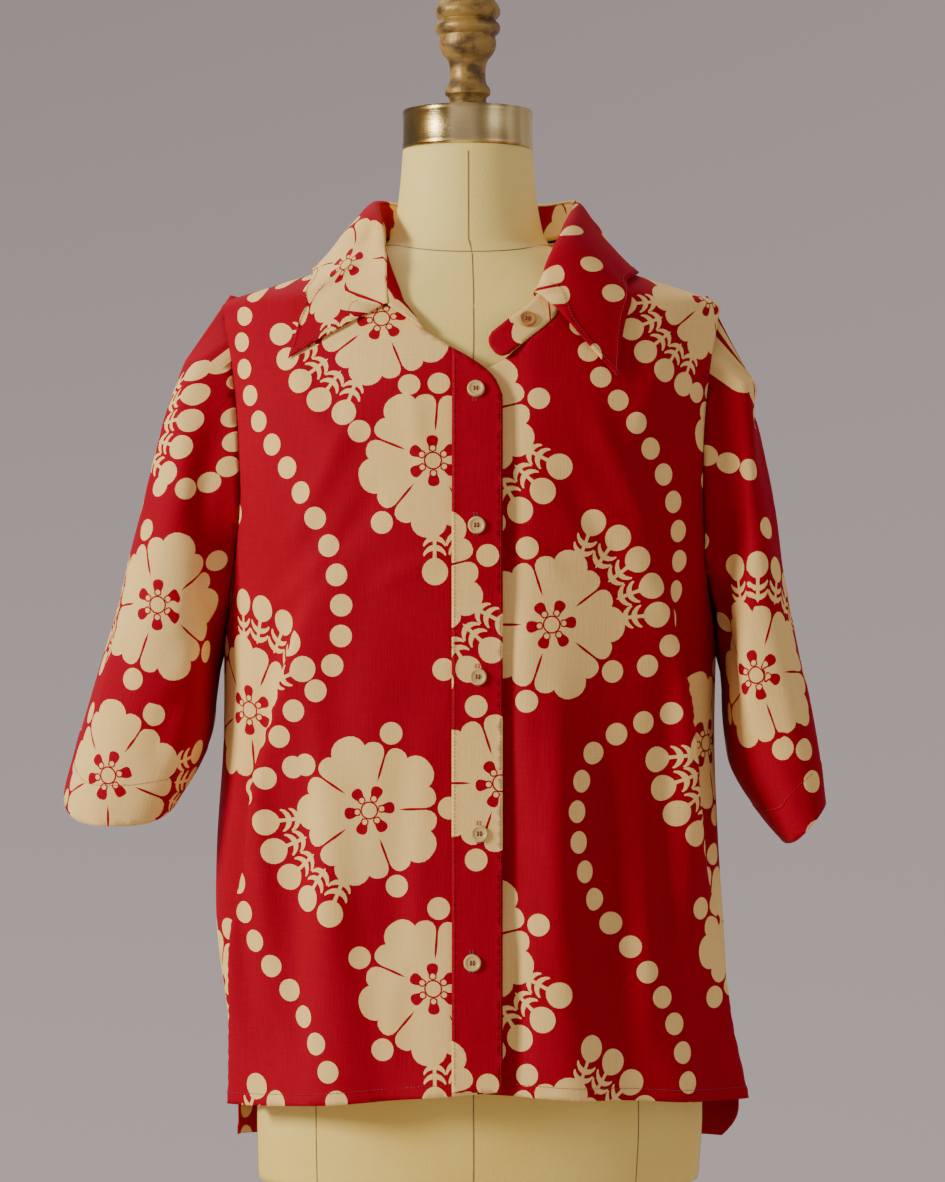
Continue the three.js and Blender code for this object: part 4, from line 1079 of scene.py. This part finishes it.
LEFT_CREASES = [
    Crease(80, 1290, 150, 1165, 3.2, 10),
    Crease(62, 1240, 128, 1140, -2.4, 9),
    Crease(168, 1125, 100, 1175, 2.8, 8),
    Crease(60, 1090, 66, 850, 3.4, 12),
    Crease(96, 1060, 104, 820, -3.2, 12),
    Crease(36, 1150, 40, 980, 2.0, 10),
    Crease(160, 1150, 176, 830, 4.2, 10),
    Crease(142, 1120, 154, 800, -3.8, 10),
    Crease(128, 950, 136, 790, 3.0, 10),
    Crease(30, 920, 36, 790, -2.2, 9),
    Crease(188, 1120, 196, 850, -3.2, 8),
    Crease(26, 1190, 70, 1160, 1.8, 7),
    Crease(150, 1330, 110, 1240, 2.2, 10),
]
RIGHT_FLOWERS = [  # each flower's place on the flat piece, and the way that its fan faces
    (-27, 1243, -58), (38, 1094, 36), (-73, 993, 218), (-195, 1063, 54), (-65, 1353, 219),
    (-27, 866, -58), (-267, 1243, -58), (-262, 852, 130), (38, 717, 36), (-202, 717, 36),
]
LEFT_FLOWERS = [
    (-7, 1275, -58), (58, 1126, 36), (-53, 1025, 218), (220, 1038, 218), (233, 1275, -58),
    (192, 1377, 219), (-7, 898, -58), (58, 750, 36), (233, 898, -58),
]
TRAIL_STOPS_AT = 62.0  # from a flower's middle
RIGHT_TRAILS = [(-20, 1099), (-260, 1099), (-20, 722), (-260, 722)]
LEFT_TRAILS = [(0, 1131), (-240, 1131), (0, 754), (-240, 754)]


def cut_front(name, node, side, pattern, edge, flowers, trails, creases):
    """One front, from its hem up its edge and the neck, and down its side."""
    path = side_path(side, "front")
    motifs = strewn(flowers)
    middles = np.array(flowers)[:, :2]
    for x, y in trails:
        for dot in trail([(x + dx, y + dy) for dx, dy in BOLT_TRAIL]):
            if np.linalg.norm(middles - dot.mean(axis=0), axis=1).min() > TRAIL_STOPS_AT:
                motifs[0].append(dot)
    hem = in_flat(pattern, np.linspace(edge[0], path[0], 40))
    seam = in_flat(pattern, path[path[:, 1] > VENT_TOP_Z])
    down_side = in_flat(pattern, path)[::-1][:-1]
    outline = np.concatenate([hem[::-1][:-1], in_flat(pattern, edge), down_side])
    cut_piece(name, node, pattern, outline, motifs, creases, seams=[seam], hems=[hem])


right_edge = front_edge(PLACKET["edge"], LAPEL_RIGHT, 0, 4)
left_edge = front_edge(UNDERLAP["x"], LAPEL_LEFT, STAND_END, 8)
cut_front(
    "shirt_front_right", "front_right", -1, right_pattern, right_edge,
    RIGHT_FLOWERS, RIGHT_TRAILS, RIGHT_CREASES,
)
cut_front(
    "shirt_front_left", "front_left", 1, left_pattern, left_edge,
    LEFT_FLOWERS, LEFT_TRAILS, LEFT_CREASES,
)

# ------------------------------------------------------------------ the placket
# A separate strip of the cotton, folded double and stitched down along both edges of the
# right front. It holds the buttonholes, and its top is rounded off at the neck.

PLACKET_LIFT = 2.05


def placket_surface(x, z):
    return on_body(angle_at(x, z), z, np.full(np.broadcast(x, z).shape, PLACKET_LIFT))


placket_xs, placket_levels = np.arange(-13.5, 22.6, 1.0), np.arange(789, 1332, 4.0)
placket_zero = (FRONT_HEM["centre"], FRONT_HEM["centre"])
placket_pattern = Pattern(placket_surface, placket_xs, placket_levels, 0, placket_zero, (0.3, 0.8))
lapel_knots = sorted(Turn(0, x, z) for x, z in LAPEL_RIGHT)
xs = np.linspace(PLACKET["seam"], PLACKET["edge"], 16)
top_line = np.stack([xs, read(lapel_knots, "x", "z", xs) - 0.3], -1)
low_line = np.stack([xs, np.full(16, FRONT_HEM["centre"])], -1)
placket_top, placket_low = in_flat(placket_pattern, top_line), in_flat(placket_pattern, low_line)
placket_sides = []
for low, high in ((low_line[0], top_line[0]), (low_line[-1], top_line[-1])):
    placket_sides.append(in_flat(placket_pattern, np.linspace(low, high, 120)))
placket_outline = np.concatenate(
    [placket_low[:-1], placket_sides[1][:-1], placket_top[::-1][:-1], placket_sides[0][::-1][:-1]]
)
PUCKERS = [  # height on the strip, and how far the pucker climbs as it crosses
    (845, 6), (905, -5), (948, 4), (1015, -6), (1060, 5), (1118, 4), (1160, -5), (1228, 6), (1262, -4),
]
PLACKET_PRINT_SHIFT = (22 - 58.4, 1013 + 4.5)
cut_piece(
    "shirt_placket",
    "placket",
    placket_pattern,
    placket_outline,
    bolt((-20, 780), (30, 1340), PLACKET_PRINT_SHIFT),
    [Crease(-9, q, 18, q + climb, 0.35, 4) for q, climb in PUCKERS],
    hems=placket_sides,
    hem_wide=2.4,
)

# ------------------------------------------------------------------ the sleeves
# Wide straight sleeves, set in at the dropped shoulders and hanging open to the elbow. Each
# is one piece, seamed under the arm, with a deep hem turned up inside.

Ring = namedtuple("Ring", "out_x out_z in_x in_z deep dip y k square")
SLEEVES = {
    -1: [
        Ring(205, 1340, 188, 1089, 66, 2, -4, 1, 2),
        Ring(219, 1309, 190, 1076, 73, 4, -3, 2, 2.3),
        Ring(233, 1258, 192, 1062, 78, 7, -2, 3, 2.6),
        Ring(243, 1222, 193, 1050, 80, 10, -1, 4, 2.8),
        Ring(254, 1182, 195, 1040, 81, 14, 0, 5, 2.8),
        Ring(265, 1137, 199, 1031, 81, 19, 1, 6, 2.8),
        Ring(279, 1092, 204, 1023, 80, 24, 2, 7, 2.8),
        Ring(293, 1045, 210, 1016, 78, 28, 3, 8, 2.8),
        Ring(303, 1009, 215, 1010, 76, 31, 4, 9, 2.8),
    ],
    1: [
        Ring(203, 1350, 187, 1087, 66, 2, -4, 1, 2),
        Ring(209, 1312, 189, 1068, 74, 3, -3, 2, 2.3),
        Ring(213, 1268, 190, 1050, 80, 4, -2, 3, 2.6),
        Ring(220, 1233, 192, 1034, 84, 5, 0, 4, 2.8),
        Ring(228, 1190, 195, 1018, 87, 6, 2, 5, 2.8),
        Ring(237, 1142, 202, 1004, 89, 7, 4, 6, 2.8),
        Ring(246, 1096, 211, 991, 90, 7, 5, 7, 2.8),
        Ring(255, 1050, 221, 978, 90, 7, 6, 8, 2.8),
        Ring(262, 1004, 231, 967, 89, 7, 7, 9, 2.8),
    ],
}


CUFF = 9.0  # v at the hem


def sleeve_surface(side):
    """u is the turn round the arm, 0 over it and 90 in front, and v runs from 0 to 9."""
    rows = SLEEVES[side]

    def ring_point(u, v):
        power = 2 / read(rows, "k", "square", v)
        c, s = np.cos(np.radians(u)), np.sin(np.radians(u))
        c, s = np.sign(c) * np.abs(c) ** power, np.sign(s) * np.abs(s) ** power
        out_x, out_z, in_x, in_z, deep, dip, y = (read(rows, "k", key, v) for key in Ring._fields[:7])
        x = side * ((out_x + in_x) / 2 + (out_x - in_x) / 2 * c)
        z = (out_z + in_z) / 2 + (out_z - in_z) / 2 * c - dip * s
        return np.stack([x, y - deep * s, z], -1)

    def surface(u, v):
        u, v = np.broadcast_arrays(np.asarray(u, float), np.asarray(v, float))
        around = (u + 180) % 360 - 180
        share = np.abs(around) / 180
        front, behind = armhole_edge(side, "front", share), armhole_edge(side, "back", share)
        angle = np.where(around >= 0, front[0], behind[0])
        under = ease((SHOULDER_TIP_Z - front[1]) / (SHOULDER_TIP_Z - ARMPIT_Z))
        start = on_body(angle, front[1], 0.6 * under)
        near = np.minimum(v, 1.0)[..., None]
        first, second = ring_point(u, np.ones(u.shape)), ring_point(u, np.full(u.shape, 2.0))
        cap = bend(near, start, first, first - start, (second - start) / 2)
        return np.where((v < 1)[..., None], cap, ring_point(u, np.maximum(v, 1.0)))

    return surface


SLEEVE_FLOWERS = {
    -1: [
        (95, -182, 193), (90, -312, 355), (-9, -68, 16), (-130, -130, 100), (-60, -250, 250),
        (-180, -290, 30),
    ],
    1: [
        (-113, -213, 60), (-12, 14, 90), (120, -70, 100), (60, -210, 250), (150, -320, 30),
        (-14, -352, 200),
    ],
}
SLEEVE_DOTS = {
    -1: [(56, 0), (77, -6), (93, -34), (104, -51), (109, -70), (102, -85), (88, -95), (65, -99)],
    1: [
        (-101, -48), (-89, -58), (-76, -68), (-75, -113), (-134, -106), (-146, -127), (-82, -252),
        (-90, -276), (-89, -300),
    ],
}
SLEEVE_CREASES = {  # the arm's front has positive p on the right sleeve, negative on the left
    -1: [
        Crease(28, -20, 62, -150, 2.8, 9),
        Crease(84, -30, 112, -140, -2.8, 9),
        Crease(118, -60, 160, -150, 3.2, 9),
        Crease(150, -90, 110, -230, -3.0, 10),
        Crease(60, -190, 74, -300, 2.4, 11),
        Crease(130, -220, 118, -310, -2.6, 10),
        Crease(-30, -20, -60, -160, 2.8, 10),
        Crease(-90, -30, -110, -150, -2.8, 9),
        Crease(-130, -70, -90, -230, 3.0, 10),
        Crease(-60, -200, -76, -310, -2.4, 11),
        Crease(8, -6, 14, -70, -2.0, 6),
        Crease(44, -8, 60, -60, 2.0, 6),
    ],
    1: [
        Crease(-28, -20, -60, -160, 2.8, 9),
        Crease(-84, -30, -110, -150, -3.0, 9),
        Crease(-150, -60, -118, -190, 3.6, 9),
        Crease(-170, -110, -130, -260, -3.0, 10),
        Crease(-60, -200, -76, -340, 2.4, 11),
        Crease(-130, -230, -120, -350, -2.6, 10),
        Crease(30, -20, 60, -170, 2.8, 10),
        Crease(90, -30, 110, -160, -2.8, 9),
        Crease(130, -70, 90, -240, 3.0, 10),
        Crease(60, -210, 76, -340, -2.4, 11),
        Crease(-8, -6, -34, -16, 3.0, 5),
        Crease(-20, -22, -52, -40, -2.6, 6),
    ],
}


ARM_LEAN = 0.306  # how far out an arm goes for each unit of its length
ARM_TURNS = 3.0
ARM_LEVELS = 4.0


def arm_pattern(side):
    """A sleeve laid flat, with q up along the arm and p round it, from the line over the arm."""
    hang = sleeve_surface(side)
    up_arm = np.array([-side * ARM_LEAN, 0, math.sqrt(1 - ARM_LEAN**2)])

    def past(u, v):
        """The sleeve, drawn on straight past its armhole and its hem."""
        within, base = np.clip(v, 0, CUFF), np.clip(v, 0, CUFF - 0.1)
        slope = (hang(-side * u, base + 0.1) - hang(-side * u, base)) * 10
        return hang(-side * u, within) + slope * (v - within)[..., None]

    turns, stops = np.arange(-180, 181, ARM_TURNS), np.linspace(-3, 12, 151)
    height = np.minimum.accumulate(past(*np.meshgrid(turns, stops)) @ up_arm, axis=0)
    armhole, cuff = (past(turns, np.full(turns.shape, end)) @ up_arm for end in (0.0, CUFF))
    levels = np.arange(cuff.min() - 8, armhole.max() + 8, ARM_LEVELS)
    table = [np.interp(levels, height[::-1, i], stops[::-1]) for i in range(len(turns))]
    table = np.array(table).T

    def surface(u, level):
        u, level = np.broadcast_arrays(np.asarray(u, float), np.asarray(level, float))
        column = ((u + 180) % 360) / ARM_TURNS
        row = np.clip((level - levels[0]) / ARM_LEVELS, 0, len(levels) - 1.001)
        i, j = np.minimum(column.astype(int), len(turns) - 2), row.astype(int)
        x, y = column - i, row - j
        low = table[j, i] * (1 - x) + table[j, i + 1] * x
        high = table[j + 1, i] * (1 - x) + table[j + 1, i + 1] * x
        return past(u, low + (high - low) * y)

    over_arm = armhole[len(turns) // 2]
    pattern = Pattern(surface, turns, levels, 0, (over_arm, 0), (0.6, 2.0))
    return pattern, np.stack([turns, armhole], -1), np.stack([turns, cuff], -1)


def cut_sleeve(name, node, side):
    """One sleeve, and the flat line of its hem."""
    pattern, armhole, cuff = arm_pattern(side)
    cap, hem = in_flat(pattern, resample(armhole, 3.0)), in_flat(pattern, resample(cuff, 3.0))
    seam = [in_flat(pattern, resample(np.array([cuff[i], armhole[i]]), 3.0)) for i in (0, -1)]
    outline = np.concatenate([hem[:-1], seam[1][:-1], cap[::-1][:-1], seam[0][::-1][:-1]])
    motifs = strewn(SLEEVE_FLOWERS[side], SLEEVE_DOTS[side])
    cut_piece(
        name, node, pattern, outline, motifs, SLEEVE_CREASES[side],
        seams=[cap], hems=[hem], hem_wide=30.0,
    )
    return pattern, hem


right_arm, right_cuff = cut_sleeve("shirt_sleeve_right", "sleeve_right", -1)
left_arm, left_cuff = cut_sleeve("shirt_sleeve_left", "sleeve_left", 1)

# ------------------------------------------------------------------ the collar
# A low stand is sewn round the neck, and a pointed leaf turns over it. The stand runs on past
# the leaf at the wearer's left, where its own button would close the neck.

LEAF_ROLL = {"up": 10.5, "out": 15}
LEAF_LIFT = 2.6
CAD_CLOTH = 1.6


def stand_line(station):
    """The stand's lower and upper edge at a station, and the way up between them."""
    seam_angle, seam_z, *top = (read(COLLAR, "k", column, station) for column in Station._fields[:5])
    seam = on_body(seam_angle, seam_z, np.full(np.shape(station), 0.7))
    top = np.stack(top, -1)
    up = top - seam
    up /= np.linalg.norm(up, axis=-1, keepdims=True)
    return seam + up * 0.6, top, up


def stand_inward(station):
    """The way from the stand towards the neck."""
    before = stand_line(np.maximum(0, station - 0.05))[0]
    after = stand_line(np.minimum(STAND_END, station + 0.05))[0]
    inward = np.cross(after - before, stand_line(station)[2])
    return inward / np.linalg.norm(inward, axis=-1, keepdims=True)


def stand_surface(u, v):
    """The stand's face, with u from the wearer's left end and v from the seam up."""
    u, v = np.broadcast_arrays(np.asarray(u, float), np.asarray(v, float))
    seam, top, _ = stand_line(np.clip(STAND_END - u, 0, STAND_END))
    return seam + (top - seam) * v[..., None]


def leaf_surface(u, w):
    """The leaf's face, with u from the wearer's left end and w from its outer edge up."""
    u, w = np.broadcast_arrays(np.asarray(u, float), np.asarray(w, float))
    station, fall = np.clip(LEAF_END - u, 0, LEAF_END), np.clip(1 - w, 0, 1)[..., None]
    columns = ("edge_angle", "edge_z", "lie")
    edge_angle, edge_z, lie = (read(COLLAR[: LEAF_END + 1], "k", column, station) for column in columns)
    _, top, up = stand_line(station)
    inward = stand_inward(station)
    start = top + inward * CAD_CLOTH + up * 0.6
    end = on_body(edge_angle, edge_z, np.full(station.shape, LEAF_LIFT))
    rise = start + up * LEAF_ROLL["up"] - inward * LEAF_ROLL["out"] / 2
    drop = top - up * LEAF_ROLL["up"] - inward * LEAF_ROLL["out"]
    curve = (
        (1 - fall) ** 3 * start
        + 3 * (1 - fall) ** 2 * fall * rise
        + 3 * (1 - fall) * fall**2 * drop
        + fall**3 * end
    )
    start_angle = angle_at(top[..., 0], np.minimum(top[..., 2], BODY[-1].z))
    start_angle = start_angle + np.where(station > 8, -360, 0)
    fall = fall[..., 0]
    angle = start_angle + (edge_angle - start_angle) * fall
    z = top[..., 2] + (edge_z - top[..., 2]) * fall
    lift = LEAF_LIFT + np.where(station < 4, 0, 10 * (1 - fall) ** 2)
    lying = (lie * ease((fall - 0.1) * 4))[..., None]
    return curve + (on_body(angle, z, lift) - curve) * lying


stand_us = np.linspace(0, STAND_END, 131)
stand_pattern = Pattern(stand_surface, stand_us, np.linspace(0, 1, 9), 7, (0, 0), (0.04, 0.04))
us = np.linspace(0.35, STAND_END, 110)
stand_end = []
for k in np.linspace(1, -1, 12):
    stand_end.append((0.33 * (1 - math.sqrt(max(0, 1 - k * k))), 0.5 + 0.5 * k))
stand_worn = [(u, 0.0) for u in us] + [(STAND_END, 0.5)] + [(u, 1.0) for u in us[::-1]] + stand_end
stand_outline = in_flat(stand_pattern, np.array(stand_worn))
stand_print = bolt((-320, -20), (320, 60), (-30, 40))
for layer, shapes in zip(stand_print, flower(-118, 8, 100)):
    layer += shapes
cut_piece(
    "shirt_collar_stand", "collar_stand", stand_pattern, stand_outline, stand_print,
    double=True,
)

leaf_us = np.linspace(0, LEAF_END, 133)
leaf_pattern = Pattern(leaf_surface, leaf_us, np.linspace(0, 1, 33), 5, (1, 0), (0.04, 0.01))
us, ws = np.linspace(0, LEAF_END, 110), np.linspace(0, 1, 16)
outer_edge = [(u, 0.0) for u in us]
roll = [(u, 1.0) for u in us[::-1]]
left_tip = [(0.0, w) for w in ws[::-1]]
right_tip = [(float(LEAF_END), w) for w in ws]
leaf_worn = outer_edge[:-1] + right_tip[:-1] + roll[:-1] + left_tip[:-1]
leaf_outline = in_flat(leaf_pattern, np.array(leaf_worn))
leaf_edge = in_flat(leaf_pattern, np.array(left_tip + outer_edge + right_tip))
LEAF_CREASES = [
    Crease(-150, -20, -120, -45, 1.2, 8),
    Crease(-40, -15, -50, -50, 1.2, 9),
    Crease(60, -12, 70, -48, 1.2, 9),
    Crease(150, -18, 165, -50, 1.2, 8),
]
LEAF_FLOWERS = [(205, -28, 34), (60, -60, 150), (-70, -20, 300)]
LEAF_DOTS = [
    (-216, -38), (-239, -58), (-245, -8), (-226, -7), (-292, -38), (-179, -13), (-150, -40),
]
cut_piece(
    "shirt_collar_leaf", "collar_leaf", leaf_pattern, leaf_outline,
    strewn(LEAF_FLOWERS, LEAF_DOTS), LEAF_CREASES, hems=[leaf_edge], hem_wide=5.0, double=True,
)

# ------------------------------------------------------------------ the buttons
# Five buttons of cream shell close the placket, and one of amber shell sits on the end of
# the collar stand. Each has a dished face and four holes, and is sewn on with red thread.

BUTTON = {"hole": 0.8, "hole_ring": 1.55}
BUTTONS = [(3.5, 1294), (4, 1197), (5, 1089), (6, 977), (1, 885)]
STRAND_SHIFTS = (-0.28, 0.05, 0.36)  # three turns of thread side by side
STRAND_RADIUS = 0.19


def button_face(radius):
    """Height of the button's face over its back: a rounded rim round a shallow dish."""
    dish = 0.75 * ease((4.9 - radius) / 1.2)
    rounding = 1.3 * np.clip((radius - 5.4) / 0.85, 0, 1) ** 2
    return 2.2 - dish - rounding


def shell_finish(name, dark, light, streak):
    finish = Finish(name)
    swirl = finish.grain(finish.where(), (160.0, 90.0, 90.0), 5.0)
    bands = finish.grain(finish.where(), (700.0, 260.0, 200.0), 2.0)
    return finish.surface(
        Base_Color=finish.mix(swirl, finish.mix(bands, dark, light), streak),
        Roughness=swirl * 0.2 + 0.2,
        Coat_Weight=0.15,
    )


cream_shell = shell_finish("cream shell", paint(186, 152, 84), paint(230, 202, 132), paint(214, 184, 116))
amber_shell = shell_finish("amber shell", paint(150, 96, 34), paint(206, 150, 70), paint(176, 120, 50))
thread_finish = Finish("red thread")
twist = thread_finish.grain(thread_finish.where(), 2500.0)
red_thread = thread_finish.surface(
    Base_Color=thread_finish.mix(twist, paint(120, 4, 18), paint(168, 16, 34)),
    Roughness=0.6,
    Sheen_Weight=0.2,
)

FACE_RINGS = [  # radius of each ring of points on a button's face, and how many it has
    (1.0, 8), (3.0, 16), (3.8, 24), (4.3, 28), (4.7, 32), (5.1, 36), (5.5, 40), (5.85, 44), (6.1, 48),
]
rim = disc(0, 0, 6.25, 48)
hole_middles = polar(np.full(4, BUTTON["hole_ring"]), 45.0 + 90 * np.arange(4))
holes = [disc(x, y, BUTTON["hole"], 12) for x, y in hole_middles]
loose = np.concatenate([disc(0, 0, radius, sides) for radius, sides in FACE_RINGS])
loose = loose[~np.any([inside(loose, hole) for hole in holes], axis=0)]
lines = [rim] + holes
flat_button, faces = fill_outlines(lines, loose)
middles = flat_button[faces].mean(axis=1)
faces = faces[~np.any([inside(middles, hole) for hole in holes], axis=0)]
count = len(flat_button)
face_height = button_face(np.linalg.norm(flat_button, axis=1))
button_points = np.concatenate(
    [np.column_stack([flat_button, face_height]), np.column_stack([flat_button, 0 * face_height])]
)
button_faces = [tuple(f) for f in faces] + [tuple(f + count)[::-1] for f in faces]
first = 0
for line in lines:
    n = len(line)
    for i in range(n):
        a, b = first + i, first + (i + 1) % n
        button_faces.append((a, b, b + count, a + count) if first else (b, a, a + count, b + count))
    first += n


def sew_on(name, node, point, normal, material):
    """A button whose back lies at the point, and the thread through its four holes."""
    turn = np.array(Vector((0, 0, 1)).rotation_difference(Vector(normal)).to_matrix())
    piece = add_mesh(name, button_points @ turn.T + point, button_faces, [material])
    face_outward(piece, 35)
    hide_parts(node)
    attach(piece, "root")
    reach = BUTTON["hole_ring"] / math.sqrt(2)
    strands = []
    for x in (-reach, reach):
        for shift in STRAND_SHIFTS:
            ys = np.linspace(-reach - 0.25, reach + 0.25, 9)
            arc = [(x + shift, y, 1.2 + 0.75 * math.cos(y / reach * 1.35)) for y in ys]
            strands.append(cord_mesh(np.array(arc) @ turn.T + point, STRAND_RADIUS, 6))
    sewing = join_parts(name + "_thread", strands, [red_thread])
    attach(sewing, "root")


BUTTON_LIFT = 2.3
for i, (x, z) in enumerate(BUTTONS, start=1):
    angle = angle_at(x, z)
    normal = normal_of(body_point, angle, np.float64(z), *BODY_STEPS)
    point = body_point(angle, z) + normal * BUTTON_LIFT
    sew_on(f"shirt_button_{i}", f"button_{i}", point, normal, cream_shell)
BAND_STATION = np.float64(11.6)
seam, top, _ = stand_line(BAND_STATION)
normal = -stand_inward(BAND_STATION)
point = seam + (top - seam) * 0.55 + normal * 0.35
sew_on("neckband_button", "button_neckband", point, normal, amber_shell)

# ------------------------------------------------------------------ the stitching
# Lock stitches in red thread hold the hems, the placket and the collar's edge, and each
# buttonhole is worked round in close stitches.


def stitch_run(pattern, line, lift, step=2.7, length=1.9, radius=0.17):
    """Short stitches along a flat line, each a low arch that dips into the cloth."""
    line = np.asarray(line, float)
    run = np.concatenate([[0], np.cumsum(np.linalg.norm(np.diff(line, axis=0), axis=1))])
    starts = np.arange(step / 2, run[-1] - length, step)
    at = np.linspace(0, 1, 4)
    stops = (starts[:, None] + at * length).ravel()
    flat = np.stack([np.interp(stops, run, line[:, 0]), np.interp(stops, run, line[:, 1])], -1)
    height = np.tile([-0.1, 0.16, 0.16, -0.1], len(starts))
    points, _ = pattern.place(flat, lift + height)
    return [cord_mesh(points[i : i + 4], radius, 4) for i in range(0, len(points), 4)]


def inset(line, by):
    """A flat line moved sideways, to its left."""
    along = np.gradient(line, axis=0)
    along /= np.linalg.norm(along, axis=1)[:, None]
    return line + np.stack([-along[:, 1], along[:, 0]], -1) * by


HEM_STITCH = (0, 8.6)  # how far the stitches lie above the body's hems
SLEEVE_STITCH = 29.0
PLACKET_STITCH = 1.6
LEAF_STITCH = 4.4
stitches = []
for pattern, edge, side in ((right_pattern, right_edge, -1), (left_pattern, left_edge, 1)):
    hem = along_line(edge[0], side_path(side, "front")[0], np.linspace(0.02, 0.98, 60))
    stitches += stitch_run(pattern, in_flat(pattern, hem) + HEM_STITCH, HEM_RISE)
stitches += stitch_run(body_back, in_flat(body_back, hem_line[2:-2]) + HEM_STITCH, HEM_RISE)
for line, by in ((placket_sides[0], -PLACKET_STITCH), (placket_sides[1], PLACKET_STITCH)):
    stitches += stitch_run(placket_pattern, inset(line, by)[1:-1], HEM_RISE)
for pattern, hem in ((right_arm, right_cuff), (left_arm, left_cuff)):
    stitches += stitch_run(pattern, inset(hem[::4], SLEEVE_STITCH), 0.5)
stitches += stitch_run(leaf_pattern, inset(resample(leaf_edge, 4.0), LEAF_STITCH)[2:-2], 0.5)
for x, z in BUTTONS:
    for side in (-1, 1):
        for k in np.arange(-8, 8.1, 0.8):
            q = z + 1 + k
            bar = [(x + side * 0.25, q), (x + side * 2.2, q)]
            stitches += stitch_run(placket_pattern, bar, 0.1, step=0.2, length=1.5, radius=0.2)[:1]
stitching = join_parts("stitching", stitches, [red_thread])
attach(stitching, "root")
